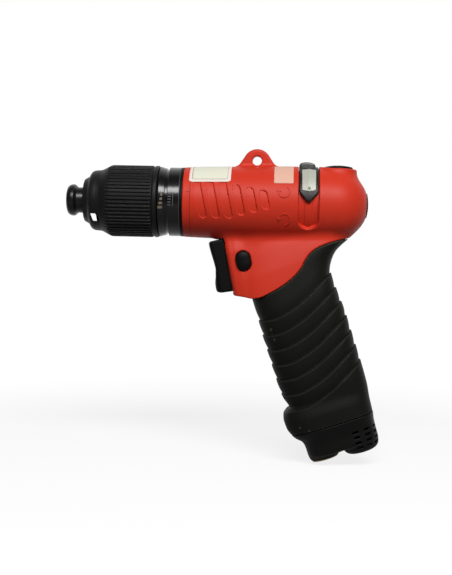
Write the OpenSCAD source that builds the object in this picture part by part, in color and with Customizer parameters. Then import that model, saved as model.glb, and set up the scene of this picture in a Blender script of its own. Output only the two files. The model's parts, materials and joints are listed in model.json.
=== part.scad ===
// Pneumatic pistol screwdriver with an adjustable clutch.
// Units are millimetres. The barrel axis is X, pointing to the rear, with Z up.
// The origin is on that axis, at the mouth of the hexagonal bit socket.

/* [Bit holder] */
// Bit size across the flats
bit_af = 6.35; // [5:0.05:8]
// Play of the bit across the flats of its socket
bit_play = 0.15; // [0.05:0.05:0.4]
// Depth of the hexagonal socket
socket_depth = 14; // [10:0.5:18]
// Radius of the bit holder inside the collar
holder_r = 5; // [4.8:0.1:5.3]
// Radius of the two bit retaining balls
lock_ball_r = 1.3; // [1:0.05:1.4]
// Length of the collar's front flange
flange_len = 6; // [4:0.5:8]
// Radius of the collar's front flange
flange_r = 8.65; // [7.5:0.05:10]
// Radius of the collar's neck
neck_r = 6.85; // [6.6:0.05:7.5]
// Bare length of the collar's neck between flange and clutch cap
neck_bare = 5; // [4.6:0.2:8]
// Wire radius of the collar spring
collar_wire_r = 0.35; // [0.2:0.05:0.45]

/* [Clutch cap] */
// Length of the clutch cap
cap_len = 41; // [38:0.5:46]
// Outer radius of the clutch cap
cap_r = 19.9; // [19.2:0.1:22]
// Radius of the cap's front dome
dome_r = 16.8; // [16:0.1:18]
// Radius of the rounded edge of the front dome
dome_round = 6; // [3:0.5:8]
// Wall of the front dome
dome_wall = 2.2; // [1.6:0.1:3]
// Length of the front dome up to the taper
dome_len = 10.5; // [9.5:0.5:12]
// Length of the taper between dome and knurl
taper_len = 5; // [3:0.5:7]
// Length of the smooth band behind the knurl
band_len = 3.2; // [2.8:0.2:6]
// Number of knurl ribs
rib_count = 60; // [30:2:80]
// Height of the knurl ribs
rib_h = 0.8; // [0.4:0.1:1.2]
// Axial length of the two windows in the dome
window_len = 6.2; // [4:0.2:7]
// Height of the two windows in the dome
window_h = 5.4; // [3:0.2:6]

/* [Clutch] */
// Length of the black ring between cap and housing
ring_len = 12.1; // [10:0.1:14]
// Outer radius of the black ring
ring_r = 19.1; // [18.6:0.1:20.5]
// Depth of the tapered neck in the black ring
groove_d = 1.5; // [0.8:0.1:2]
// Length of the tapered neck in the black ring
ring_neck = 5.2; // [4:0.1:6]
// Outer radius of the clutch case under the cap
case_r = 16.55; // [16.3:0.05:17]
// Inner radius of the clutch case
case_bore_r = 14.2; // [14:0.1:14.6]
// Travel of the spring seat over the torque range
seat_travel = 3; // [1:0.2:3.6]
// Thickness of the spring seat
seat_len = 2.8; // [2:0.2:4]
// Thickness of the thrust bearing
thrust_len = 3.2; // [2.6:0.2:4]
// Wire radius of the clutch spring
clutch_wire_r = 1; // [0.7:0.1:1.1]
// Thickness of the clutch jaw
jaw_len = 4; // [3:0.5:6]
// Radius of the clutch balls
clutch_ball_r = 2.4; // [2:0.1:2.6]
// Number of clutch balls
clutch_balls_n = 6; // [4:1:8]
// Pitch radius of the clutch balls
clutch_ball_pitch = 9.3; // [8.6:0.1:9.8]
// Across flats of the spindle's sliding hexagon
spindle_af = 10.4; // [9.6:0.1:10.8]
// Thickness of the planet carrier's plate
carrier_len = 3.5; // [3:0.25:5]

/* [Gears] */
// Gear module
gear_m = 0.6; // [0.56:0.01:0.61]
// Teeth of the sun gear
sun_z = 12; // [12:1:12]
// Teeth of each planet gear
planet_z = 15; // [15:1:15]
// Pressure angle of the teeth
gear_pa = 25; // [20:1:25]
// Backlash on the pitch circle
backlash = 0.1; // [0.05:0.01:0.15]
// Face width of the gears
gear_face = 7; // [5:0.5:8]
// Radius of the planet pins
pin_r = 1.5; // [1.2:0.1:1.8]

/* [Bearings] */
// Bore radius of the nose bearing
nose_brg_in = 6; // [5.9:0.1:6.2]
// Outer radius of the nose bearing
nose_brg_out = 12; // [11:0.1:12.4]
// Width of the nose bearing
nose_brg_w = 6; // [5:0.5:6.5]
// Bore radius of the two rotor bearings
rotor_brg_in = 4; // [3.5:0.1:5]
// Outer radius of the two rotor bearings
rotor_brg_out = 11; // [10:0.1:11.5]
// Width of the two rotor bearings
rotor_brg_w = 7; // [6:0.5:8]

/* [Motor] */
// Outer radius of the motor
motor_r = 15.85; // [15.4:0.05:15.9]
// Length of the motor cylinder
motor_len = 36; // [30:1:38]
// Eccentricity of the cylinder's bore
motor_ecc = 1.2; // [0.8:0.1:1.4]
// Radius of the rotor
rotor_r = 11.85; // [11:0.05:11.9]
// Thickness of each vane
vane_t = 1.5; // [1:0.1:2]
// Thickness of the webs of the two end plates
web_t = 1.2; // [1:0.1:2]

/* [Housing] */
// Length of the red housing from ring to rear
body_len = 103.2; // [100:0.5:110]
// Radius of the housing at the front
body_front_r = 19.3; // [19:0.1:20]
// Largest radius of the housing
body_r = 20.9; // [20.4:0.1:22]
// Radius of the rear dome
rear_r = 19.8; // [19.4:0.1:20.6]
// Place of the widest point behind the housing's front
body_wide_x = 68; // [60:1:75]
// Place of the hanger hole behind the housing's front
hanger_x = 41.3; // [35:0.5:48]
// Height of the hanger hole over the barrel axis
hanger_z = 23.6; // [23.2:0.2:26]
// Radius of the hanger hole
hanger_hole_r = 2.6; // [2:0.1:3]
// Radius of the hanger tab's round head
hanger_r = 7.7; // [7:0.1:8.5]
// Drop of the hanger tab's centre below its hole
hanger_drop = 1.2; // [0.6:0.1:2]
// Spread of the hanger tab's flanks
hanger_flank = 33.4; // [25:0.2:40]
// Thickness of the hanger tab
hanger_t = 6; // [4:0.5:8]
// Place of the top port behind the housing's front
port_x = 86.1; // [84:0.5:88]
// Outer radius of the top port's boss
port_r = 10.4; // [9.8:0.1:11]
// Height of the top port's boss over the barrel axis
port_z = 20.4; // [19.6:0.1:21.5]
// Radius of the plug's head in the top port
plug_r = 8.2; // [7.4:0.1:9]
// Height of the plug's head
plug_h = 2.2; // [1.5:0.1:3]
// Radius of the disc at the rear end
rear_disc_r = 6.7; // [5.8:0.1:7.5]
// Thickness of the disc at the rear end
rear_disc_t = 1.2; // [0.8:0.1:2]
// Depth of the side grooves
vent_d = 0.9; // [0.4:0.1:1.4]
// Width of the side grooves
vent_w = 3.9; // [2.5:0.1:4.5]
// Distance between the side grooves
vent_pitch = 7.05; // [6:0.05:8]
// Slant of the side grooves
vent_slant = 13; // [0:1:20]

/* [Reverse lever] */
// Place of the lever behind the housing's front
lever_x = 69.9; // [66:0.1:71]
// Width of the lever
lever_w = 10.4; // [8:0.2:11]
// Play of the lever on each side of its track
lever_play = 0.4; // [0.3:0.05:0.8]
// Radius of the track's floor
track_r = 18.2; // [17.6:0.1:18.6]
// Thickness of the lever's band
lever_t = 2.6; // [1.8:0.1:3.2]
// Turn of the lever between forward and reverse
lever_turn = 42; // [30:1:44]
// Height of the thumb knob over the barrel axis
knob_z = 23.6; // [22.8:0.1:25]

/* [Handle] */
// Place of the handle axis behind the housing's front
handle_x = 60.7; // [58:0.1:63]
// Drop of the handle's origin below the barrel axis
handle_z = 20; // [19.5:0.1:20.5]
// Rearward tilt of the handle
handle_tilt = 18.8; // [17.5:0.1:20]
// Length of the handle down to the base seam
handle_len = 103; // [97:0.5:113]
// Reach of the grip in front of the handle axis
grip_front = 30; // [29:0.1:32]
// Reach of the grip behind the handle axis
grip_rear = 17.3; // [16.4:0.1:19]
// Half width of the grip
grip_w = 16.5; // [15:0.1:18]
// Extra reach of the front lip at the grip's lower end
lip_d = 3.4; // [1:0.1:5]
// Half width of the red trigger block
block_w = 14.8; // [14:0.1:16]
// Radius of the handle core's two round sides
core_r = 12; // [11.6:0.1:12.4]
// Seam between grip sleeve and housing
seam = 0.2; // [0.1:0.05:0.4]
// Depth of the grip's steps
grip_step_d = 1.1; // [0.4:0.1:1.6]
// Number of steps across the grip
grip_step_n = 7; // [4:1:9]

/* [Base] */
// Radius of the air inlet's boss
inlet_boss_r = 8.8; // [8.2:0.1:9.4]
// Length of the air inlet's boss under the seam
inlet_boss_len = 19; // [16:0.5:22]
// Place of the air inlet in front of the handle axis
inlet_p = 17.4; // [16.4:0.1:17.8]
// Tapping radius of the air inlet's thread
inlet_r = 5.72; // [5.4:0.02:6]
// Outer radius of the inlet bushing
bushing_r = 7.5; // [7:0.1:7.8]
// Radius of the exhaust's boss
exhaust_r = 10.6; // [9.8:0.1:11.4]
// Length of the exhaust's boss under the seam
exhaust_len = 20.5; // [19:0.5:24]
// Rounding of the exhaust boss's lower edge
exhaust_round = 5; // [2:0.5:6]
// Place of the exhaust behind the handle axis
exhaust_p = 3.6; // [2.8:0.1:4.4]
// Wall of the exhaust's boss
exhaust_wall = 2; // [1.5:0.1:2.6]
// Half width of the base's skirt
skirt_w = 13; // [12.8:0.1:14]
// Thickness of the base's floors
floor_t = 3; // [2:0.1:4]
// Length of each exhaust slit
slit_w = 3.4; // [2:0.1:3.8]
// Height of each exhaust slit
slit_h = 1.3; // [0.8:0.1:2]
// Distance between the rows of slits
slit_pitch = 3; // [2.4:0.1:3.6]
// Radius of the air passages in the handle
passage_r = 4; // [3:0.1:4.2]
// Radius of the base screws
screw_r = 1.5; // [1.2:0.1:1.8]

/* [Trigger] */
// Place of the trigger's middle behind the housing's front
trigger_x = 26.9; // [25.5:0.1:28]
// Drop of the trigger's middle below the barrel axis
trigger_z = 34; // [33.4:0.1:35.5]
// Tilt of the trigger
trigger_tilt = 12.9; // [11.5:0.1:14]
// Reach of the trigger in front of its block
trigger_reach = 8.4; // [7:0.1:11]
// Half width of the trigger
trigger_w = 7.5; // [6:0.1:8.5]
// Height of the trigger over its middle
trigger_top = 13; // [11:0.1:13.2]
// Height of the trigger below its middle
trigger_bottom = 15.3; // [13:0.1:16]
// Wall of the block beside the trigger
frame_w = 2.8; // [2:0.1:4]
// Play of the trigger in its pocket
trigger_play = 0.3; // [0.2:0.05:0.5]
// Radius of the valve stem
stem_r = 2.2; // [1.6:0.1:2.4]
// Radius of the throttle valve's chamber
chamber_r = 6.5; // [6:0.1:7]
// Place of the lock button behind the block's front edge
button_d = 8.6; // [8.5:0.1:9.5]
// Width of the lock button
button_w = 8.2; // [7:0.1:8.4]
// Height of the lock button
button_h = 11; // [9:0.1:12]
// Travel of the lock button
button_travel = 2.5; // [1:0.1:3]

/* [Fits] */
// Radial clearance of running fits
run_gap = 0.05; // [0.03:0.01:0.08]
// Radial clearance of pieces fixed to each other
fix_gap = 0.03; // [0.02:0.01:0.05]
// Gap between faces of pieces that move past each other
face_gap = 0.3; // [0.2:0.05:0.4]

/* [Hidden] */
$fn = 48;

// Stations along the barrel
cap_x0 = flange_len + neck_bare;
cap_x1 = cap_x0 + cap_len;
ring_x0 = cap_x1 + face_gap;
ring_x1 = cap_x1 + ring_len + face_gap;
body_x0 = ring_x1 + 0.1;
body_x1 = body_x0 + body_len;
knurl_x0 = cap_x0 + dome_len;
knurl_x1 = cap_x1 - band_len;

// Clutch case and its bearing
lip_t = 0.7;
case_x0 = cap_x0 + dome_wall + window_len - 1.6;
nose_x0 = case_x0 + lip_t;
nose_x1 = nose_x0 + nose_brg_w;
clip_t = 1;
seat_x0 = nose_x1 + clip_t + 0.9;
seat_x1 = seat_x0 + seat_len;
thrust_x1 = seat_x1 + thrust_len;
spigot_len = 6.6;
spigot_r = motor_r + 1.4;

// Bit collar
lock_x = cap_x0 + 1.2;
clip_x0 = 0.6;
spring_room_r = holder_r + 1.05;
collar_seat_x = cap_x0 - 1.2;
relief_x = lock_x + lock_ball_r + 0.6;
collar_x1 = case_x0 - 0.4;

// Gear train, set forward from the motor's front end plate
plate_in = 6.4;
plate_len = rotor_brg_w + web_t;
front_plate_x0 = body_x0 - plate_in;
gear_x1 = front_plate_x0 - 0.9;
gear_x0 = gear_x1 - gear_face;
carrier_x1 = gear_x0 - 0.5;
carrier_x0 = carrier_x1 - carrier_len;
ball_gap = 1.7;
jaw_x1 = carrier_x0 - ball_gap;
jaw_x0 = jaw_x1 - jaw_len;
ball_x = (jaw_x1 + carrier_x0) / 2;
ring_z = sun_z + 2 * planet_z;
planet_pos = gear_m * (sun_z + planet_z) / 2;
sun_bore_r = gear_m * sun_z / 2 - 1.45;
pilot_r = 3.4;

// Motor
front_plate_x1 = front_plate_x0 + plate_len;
cyl_x1 = front_plate_x1 + motor_len;
rear_plate_x1 = cyl_x1 + plate_len;
bore_r = motor_r + run_gap;
cyl_bore_r = rotor_r + motor_ecc + 0.15;
vane_in = 6.4;

// Reverse valve and lever
lev_x = body_x0 + lever_x;
drum_x0 = rear_plate_x1 + face_gap;
drum_x1 = lev_x + 6.6;
drum_wall = 3.6;
lever_in = track_r + 0.15;
lever_out = lever_in + lever_t;
lever_a0 = 6.5;
lever_a1 = 118;
stud_a = 58;
track_end = lever_turn - 15;
track_half = lever_w / 2 + lever_play;
stud_r = 2.6;
strip_w = 3.9;
strip_h = 0.4;

// Rear end and top port
port_cx = body_x0 + port_x;
tap_r = 6.5;
rear_cx = body_x1 - rear_r;
rear_bore_r = 5;
chamber_rear_r = 12;
chamber_rear_x1 = rear_cx + 8;

// Handle: p points to the rear, t down along the handle
hx = body_x0 + handle_x;
core_f = grip_front - 3.5 - core_r;
core_b = grip_rear - 3.8 - core_r;
tx = body_x0 + trigger_x;
trig_p = (tx - hx) * cos(handle_tilt) + (handle_z - trigger_z) * sin(handle_tilt);
trig_t = (tx - hx) * sin(handle_tilt) - (handle_z - trigger_z) * cos(handle_tilt);
block_lean = tan(handle_tilt - trigger_tilt);
block_t1 = trig_t + trigger_bottom + 2.8;
sleeve_t0 = block_t1 + 4.6;
base_t = handle_len + seam;
step_t0 = sleeve_t0 + 16;
step_lead = (handle_len - 10.7 - step_t0) / (grip_step_n - 1);
valley_t = handle_len + inlet_boss_len - 3;
base_screw_p = (exhaust_p - inlet_p) / 2;
base_screw_y = 8;

// Throttle valve, along the trigger's travel
bush_d0 = button_d + button_w / 2 + 0.8;
bush_d1 = bush_d0 + 4;
seat_d0 = bush_d1 + 5;
seat_d1 = seat_d0 + 2;
disc_d1 = seat_d1 + 3;
spring_d1 = disc_d1 + 9;

function front_of_block(t) = trig_p - block_lean * (t - trig_t);

// Rear edge of the handle at the depth t
function rear_edge(t) =
    lookup(t, [[-20, grip_rear + 12.7], [0, grip_rear + 15.7], [5, grip_rear + 13.7],
        [8.6, grip_rear + 11.9], [10.6, grip_rear + 8.7], [13.8, grip_rear + 4.2],
        [17.6, grip_rear + 1.2], [21, grip_rear - 0.5], [25, grip_rear - 1.2],
        [38, grip_rear - 0.6], [46, grip_rear], [74, grip_rear], [handle_len - 16, grip_rear - 0.4],
        [handle_len - 7, grip_rear - 1.5], [handle_len, grip_rear - 2]]);

// Half width of the handle at the depth t
function half_width(t) =
    lookup(t, [[-20, block_w - 1.5], [2, block_w - 0.6], [14, block_w], [26, (block_w + grip_w) / 2],
        [40, grip_w], [handle_len - 22, grip_w], [handle_len - 14, grip_w - 0.6],
        [handle_len - 7, grip_w + 0.3], [handle_len, grip_w]]);

// Front edge of the grip at the depth t
function front_edge(t) =
    -lookup(t, [[0, grip_front], [handle_len - 22, grip_front], [handle_len - 15.5, grip_front - 1.2],
        [handle_len - 12, grip_front + lip_d * 0.8], [handle_len - 8, grip_front + lip_d],
        [handle_len - 4, grip_front + lip_d], [handle_len, grip_front + lip_d - 2.2]]);

// Points of one rounded section, with the superellipse power e
function section(t, f, b, w, e, n) =
    [for (i = [0:n - 1])
        let (c = cos(360 * i / n), s = sin(360 * i / n))
        [(f + b) / 2 + (b - f) / 2 * sign(c) * pow(abs(c), 2 / e), w * sign(s) * pow(abs(s), 2 / e), -t]];

// Sides of a closed skin over m rings of n points
function skin_faces(m, n) =
    concat(
        [for (k = [0:m - 2], j = [0:n - 1]) [k * n + j, k * n + (j + 1) % n, (k + 1) * n + (j + 1) % n]],
        [for (k = [0:m - 2], j = [0:n - 1]) [k * n + j, (k + 1) * n + (j + 1) % n, (k + 1) * n + j]],
        [[for (j = [n - 1:-1:0]) j]],
        [[for (j = [0:n - 1]) (m - 1) * n + j]]);

// Place children on the barrel axis at x, with local Z along X
module on_barrel(x = 0) {
    translate([x, 0, 0]) rotate([0, 90, 0]) children();
}

// Place children in the handle's frame
module in_handle() {
    translate([hx, 0, -handle_z]) rotate([0, -handle_tilt, 0]) children();
}

// Place children in the trigger's frame, with X along its travel
module in_trigger() {
    translate([tx, 0, -trigger_z]) rotate([0, -trigger_tilt, 0]) children();
}

// Ring round the barrel axis
module tube_x(x0, x1, ro, ri) {
    on_barrel(x0) difference() {
        cylinder(r = ro, h = x1 - x0, $fn = 72);
        translate([0, 0, -1]) cylinder(r = ri, h = x1 - x0 + 2, $fn = 72);
    }
}

// Disc round the barrel axis
module rod_x(x0, x1, r) {
    on_barrel(x0) cylinder(r = r, h = x1 - x0, $fn = 72);
}

// Sector round the barrel axis, from the near side (0) over the top (90)
module arc_x(x0, x1, ri, ro, a0, a1) {
    on_barrel(0) rotate([0, 0, 270 - a1]) rotate_extrude(angle = a1 - a0, $fn = 96)
        translate([ri, x0]) square([ro - ri, x1 - x0]);
}

// Coil spring along local Z
module coil(len, mean_r, wire_r, turns) {
    steps = ceil(turns * 16);
    n = 8;
    rise = (len - 2 * wire_r) / steps;
    pts = [for (k = [0:steps], j = [0:n - 1])
        let (a = 360 * turns * k / steps, r = mean_r + wire_r * cos(360 * j / n))
        [r * cos(a), r * sin(a), wire_r + rise * k + wire_r * sin(360 * j / n)]];
    polyhedron(pts, skin_faces(steps + 1, n));
}

// Involute angle in degrees
function inv_deg(a) = tan(a) * 180 / PI - a;

// Half angle of a tooth at the radius r
function tooth_half(r, z, thin) =
    let (rb = gear_m * z / 2 * cos(gear_pa), a = r > rb ? acos(rb / r) : 0)
    90 / z - thin / (gear_m * z) * 180 / PI + inv_deg(gear_pa) - inv_deg(a);

// Flat gear outline with z teeth, one of them at the angle 0
module gear_2d(z, tip, root, thin) {
    steps = 3;
    polygon([for (k = [0:z - 1], s = [0:2 * steps + 1])
        let (up = s <= steps, i = up ? s : 2 * steps + 1 - s, r = root + (tip - root) * i / steps,
            h = tooth_half(r, z, thin), a = 360 * k / z + (up ? -h : h))
        [r * cos(a), r * sin(a)]]);
}

// Flat oblong, long along Y
module oblong(w, h) {
    translate([0, (h - w) / 2]) circle(d = w);
    translate([0, -(h - w) / 2]) circle(d = w);
    square([w, h - w], center = true);
}

// Outline of the grip's rubber in the handle's frame, drawn as p and -t
module rubber_2d() {
    polygon([[-grip_front - 15, -sleeve_t0], [-grip_front + 5, -sleeve_t0],
        [-grip_front + 11.4, -sleeve_t0 + 1],
        [-grip_front + 18, -sleeve_t0 + 2.6], [-grip_front + 25.4, -sleeve_t0 + 5.4],
        [-grip_front + 30.6, -sleeve_t0 + 8.7], [-grip_front + 34.9, -sleeve_t0 + 13.4],
        [-grip_front + 38.6, -sleeve_t0 + 15.6], [-grip_front + 43.5, -sleeve_t0 + 16.8],
        [-grip_front + 51.2, -sleeve_t0 + 17.3], [-grip_front + 66, -sleeve_t0 + 16.3],
        [grip_rear + 40, -sleeve_t0 + 16.3], [grip_rear + 40, -handle_len],
            [-grip_front - 15, -handle_len]]);
}

// Solid handle core, round at front and rear
module core(grow) {
    translate([0, 0, -handle_len]) linear_extrude(handle_len + 4) {
        translate([-core_f, 0]) circle(r = core_r + grow, $fn = 64);
        translate([core_b, 0]) circle(r = core_r + grow, $fn = 64);
        translate([-core_f, -core_r - grow]) square([core_f + core_b, 2 * (core_r + grow)]);
    }
}

// Upper handle with the red trigger block
module block_skin() {
    n = 28;
    ts = [-20, -8, 2, 9, 12, 16, block_t1 - 1, block_t1, block_t1 + 1.2, sleeve_t0];
    rows = [for (t = ts)
        let (slope = t > block_t1 ? (t - block_t1) / (sleeve_t0 - block_t1) : 0,
            f = front_of_block(min(t, block_t1)))
        section(t, f + slope * (-grip_front + 0.6 - f) + (t == block_t1 ? 0.5 : 0), rear_edge(t),
            half_width(t), 3, n)];
    polyhedron([for (row = rows) each row], skin_faces(len(rows), n));
}

// Rise of the grip's steps from front to rear at the place p
function step_rise(p) =
    lookup(p + grip_front, [[0, 3.2], [3.5, 0.5], [9, 0], [17.4, 1.5], [25.7, 4.4], [33.2, 8.1], [39.6, 11.4],
        [45, 14.3], [47.5, 16]]);

// Depth of the grip's steps at the point p, t: each band sinks towards the edge of the next one
function groove(p, t) =
    let (u = (t + step_rise(p) - step_t0) / step_lead, f = u - floor(u))
    u < -1 || u >= grip_step_n - 1 || t < sleeve_t0 + 1 ? 0 : grip_step_d * pow(f, 3);

// Whole grip with its slanting steps
module grip_skin() {
    n = 32;
    upper = [for (t = [4:4:sleeve_t0]) t];
    step = (handle_len - 10 - sleeve_t0) / 38;
    middle = [for (k = [0:38]) sleeve_t0 + 1 + step * k];
    lower = [for (q = [8, 6, 4, 2, 0]) handle_len - q];
    ts = concat(upper, middle, lower);
    rows = [for (t = ts) section(t, front_edge(t), rear_edge(t), half_width(t), 3, n)];
    mid = [for (k = [0:len(ts) - 1]) (front_edge(ts[k]) + rear_edge(ts[k])) / 2];
    half = [for (k = [0:len(ts) - 1]) (rear_edge(ts[k]) - front_edge(ts[k])) / 2];
    pts = [for (k = [0:len(ts) - 1], q = rows[k])
        let (g = groove(q[0], ts[k]))
        [mid[k] + (q[0] - mid[k]) * (1 - g / half[k]), q[1] * (1 - g / half_width(ts[k])), q[2]]];
    polyhedron(pts, skin_faces(len(ts), n));
}

// Outer shape of the barrel with its rear dome
module barrel() {
    on_barrel(0) rotate_extrude($fn = 120) union() {
        barrel_2d(0);
        intersection() {
            translate([0, rear_cx]) circle(r = rear_r, $fn = 120);
            translate([0, rear_cx - 0.01]) square([rear_r + 1, rear_r - rear_disc_t - 0.2]);
        }
    }
}

// Half outline of the barrel in front of the dome, sunk by the depth
module barrel_2d(depth) {
    polygon([[0, body_x0], [body_front_r - 0.5 - depth, body_x0], [body_front_r - depth, body_x0 + 0.6],
        [body_front_r + 0.4 * (body_r - body_front_r) - depth, body_x0 + 0.3 * body_wide_x],
        [body_r - 0.15 - depth, body_x0 + 0.8 * body_wide_x], [body_r - depth, body_x0 + body_wide_x],
        [rear_r - depth, rear_cx], [0, rear_cx]]);
}

// Hanger tab on top of the barrel
module hanger() {
    head_z = hanger_z - hanger_drop;
    foot_z = body_front_r - 2;
    shoulder = hanger_r * [cos(hanger_flank), sin(hanger_flank)];
    foot_x = shoulder[0] + tan(hanger_flank) * (head_z + shoulder[1] - foot_z);
    head = [for (k = [0:24]) let (a = hanger_flank + (180 - 2 * hanger_flank) * k / 24)
        [hanger_r * cos(a), head_z + hanger_r * sin(a)]];
    translate([body_x0 + hanger_x, hanger_t / 2, 0]) rotate([90, 0, 0]) linear_extrude(hanger_t)
        polygon(concat([[foot_x, foot_z]], head, [[-foot_x, foot_z]]));
}

// Slanting grooves in both sides of the barrel, of one depth all along
module vents() {
    difference() {
        for (side = [-1, 1], k = [0:5])
            let (low = k > 2 ? -9 + 1.7 * (k - 2) : -9, top = k > 2 ? 8.9 - 1.5 * (k - 3) : 15.5)
            translate([body_x0 + 13.2 + vent_pitch * k, side > 0 ? body_r + 4 : -5, 0]) rotate([90, 0, 0])
                linear_extrude(body_r - 1) polygon([for (q = [[0, low], [vent_w, low], [vent_w, top],
                    [0, top]])
                    [q[0] - vent_w / 2 - tan(vent_slant) * (q[1] + 7), q[1]]]);
        on_barrel(0) rotate_extrude($fn = 120) barrel_2d(vent_d);
    }
}

// Flat front of the trigger block, rounded at its two upright edges
module trigger_frame() {
    half = trigger_w + trigger_play + frame_w;
    height = trigger_bottom + frame_w + trigger_top + 6;
    translate([0, 0, -trigger_bottom - frame_w]) linear_extrude(height) {
        for (side = [-1, 1]) translate([frame_w, side * (half - frame_w)]) circle(r = frame_w);
        translate([0, -half + frame_w]) square([frame_w + 8, 2 * (half - frame_w)]);
        translate([frame_w, -half]) square([frame_w + 6, 2 * half]);
    }
}

// Track of the reverse lever over the barrel, rounded at its lower end
module lever_track(ri, ro, half) {
    intersection() {
        arc_x(lev_x - half, lev_x + half, ri, ro, -track_end - 40, lever_a1 + 3);
        translate([lev_x, 0, 0]) rotate([90 + track_end, 0, 0]) {
            translate([-50, 0, -100]) cube([100, 100, 200]);
            cylinder(r = half * 1.1, h = 50);
        }
    }
}

module motor_housing() {
    color("#c8372a") difference() {
        union() {
            barrel();
            hanger();
            translate([port_cx, 0, 0]) cylinder(r = port_r, h = port_z, $fn = 72);
            in_handle() difference() {
                block_skin();
                rotate([90, 0, 0]) translate([0, 0, -40]) linear_extrude(80) rubber_2d();
            }
            in_handle() core(0);
            in_trigger() trigger_frame();
        }
        vents();
        // Barrel bore with the seat of the clutch case
        rod_x(body_x0 - 1, drum_x1 + face_gap, bore_r);
        rod_x(body_x0 - 1, body_x0 + spigot_len + 0.2, spigot_r + fix_gap);
        rod_x(drum_x1, chamber_rear_x1, chamber_rear_r);
        rod_x(chamber_rear_x1 - 1, body_x1 + 1, rear_bore_r + fix_gap);
        // Top port
        translate([port_cx, 0, chamber_rear_r - 3]) cylinder(r = tap_r + fix_gap, h = 30);
        // Track and window of the reverse lever
        difference() {
            lever_track(track_r, track_r + 20, track_half);
            arc_x(lev_x - strip_w / 2, lev_x + strip_w / 2, track_r - 1, track_r + strip_h, -90,
                lever_a1 + 10);
        }
        arc_x(lev_x - stud_r - 0.4, lev_x + stud_r + 0.4, bore_r - 2, track_r + 4,
            stud_a - lever_turn - 11, stud_a + 11);
        // Hanger hole
        translate([body_x0 + hanger_x, 20, hanger_z]) rotate([90, 0, 0])
            cylinder(r = hanger_hole_r, h = 40);
        // Pocket of the trigger, lock button and throttle valve
        in_trigger() {
            translate([-8, -trigger_w - trigger_play, -trigger_bottom - trigger_play])
                cube([8 + button_d - button_w / 2 + 1.6, 2 * (trigger_w + trigger_play),
                    trigger_bottom + trigger_top + 2 * trigger_play]);
            translate([button_d, 30, 0]) rotate([90, 0, 0]) linear_extrude(60)
                oblong(button_w + 2 * run_gap, button_h + 2 * run_gap);
            rotate([0, 90, 0]) cylinder(r = stem_r + 0.4, h = bush_d0);
            translate([bush_d0, 0, 0]) rotate([0, 90, 0]) cylinder(r = chamber_r, h = spring_d1 - bush_d0);
        }
        // Air passages: from the base to the valve, from the valve to the motor, and the exhaust
        in_handle() {
            translate([-inlet_p, 0, -handle_len - 1]) rotate([0, 8.2, 0])
                cylinder(r = passage_r, h = handle_len - 2);
            translate([exhaust_p, 0, -handle_len - 1]) rotate([0, 3.5, 0])
                cylinder(r = passage_r, h = handle_len + 10);
        }
        in_trigger() translate([bush_d1 + 3, 0, 0]) cylinder(r = 2.2, h = 16);
        // Tapped holes for the base screws
        in_handle() for (side = [-1, 1])
            translate([base_screw_p, side * base_screw_y, -handle_len - 1])
                cylinder(r = screw_r + fix_gap, h = 13, $fn = 24);
    }
}

module grip_sleeve() {
    color("#222420") in_handle() difference() {
        intersection() {
            grip_skin();
            rotate([90, 0, 0]) translate([0, 0, -40]) linear_extrude(80) offset(delta = -seam) rubber_2d();
        }
        core(fix_gap);
    }
}

// Base: a skirt with the air inlet's boss in front and the exhaust's boss behind
module base_cap() {
    n = 28;
    f = front_edge(handle_len);
    b = rear_edge(handle_len);
    w = half_width(handle_len);
    skirt_f = -inlet_p - inlet_boss_r;
    skirt_b = exhaust_p + exhaust_r;
    rows = [section(base_t, f + 0.6, b, w, 3, n), section(base_t + 2, f + 2, b - 0.2, w - 1, 3, n),
        section(base_t + 5.5, skirt_f - 1, skirt_b + 0.2, skirt_w + 1, 3, n),
        section(base_t + 9, skirt_f, skirt_b, skirt_w, 3, n),
        section(valley_t - 2, skirt_f + 0.4, skirt_b - 0.2, skirt_w - 0.4, 3, n),
        section(valley_t, skirt_f + 3, skirt_b - 2.5, skirt_w - 3, 3, n)];
    color("#1e1f1d") in_handle() difference() {
        union() {
            polyhedron([for (row = rows) each row], skin_faces(len(rows), n));
            translate([-inlet_p, 0, -base_t - 1]) rotate([180, 0, 0])
                boss(inlet_boss_r - 0.2, inlet_boss_len - 1, 2.5);
            translate([exhaust_p, 0, -base_t - 1]) rotate([180, 0, 0])
                boss(exhaust_r - 0.3, exhaust_len - 1, exhaust_round);
        }
        // Inlet bore
        translate([-inlet_p, 0, -base_t - inlet_boss_len - 2])
            cylinder(r = bushing_r + fix_gap, h = inlet_boss_len + 3);
        // Muffler chamber
        translate([exhaust_p, 0, -base_t - exhaust_len + floor_t])
            cylinder(r = exhaust_r - exhaust_wall, h = exhaust_len - floor_t + 1);
        // Exhaust slits on both sides
        for (row = [0:3], side = [-1, 1], col = [0:2])
            translate([exhaust_p, 0, -base_t - 7.6 - slit_pitch * row]) rotate([0, 0, side * (96 - 31 * col)])
                translate([exhaust_r - exhaust_wall - 1, -slit_w / 2, -slit_h / 2])
                    cube([exhaust_wall + 9, slit_w, slit_h]);
        // Screw holes with head recesses
        for (side = [-1, 1]) translate([base_screw_p, side * base_screw_y, -base_t - 30]) {
            cylinder(r = screw_r + 0.2, h = 40, $fn = 24);
            cylinder(r = screw_r + 1.7, h = 30 - floor_t, $fn = 24);
        }
    }
}

// Round boss with a rounded lower edge, along local Z
module boss(r, len, round) {
    rotate_extrude($fn = 72) {
        square([r, len - round]);
        square([r - round, len]);
        translate([r - round, len - round]) circle(r = round, $fn = 48);
    }
}

module base_screws() {
    color("#8a8c8e") in_handle() for (side = [-1, 1])
        translate([base_screw_p, side * base_screw_y, -base_t - floor_t]) difference() {
            union() {
                cylinder(r = screw_r, h = 13, $fn = 24);
                translate([0, 0, -2.4]) cylinder(r = screw_r + 1.4, h = 2.4, $fn = 32);
            }
            translate([0, 0, -3]) cylinder(r = screw_r * 0.8, h = 2.2, $fn = 6);
        }
}

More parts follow.
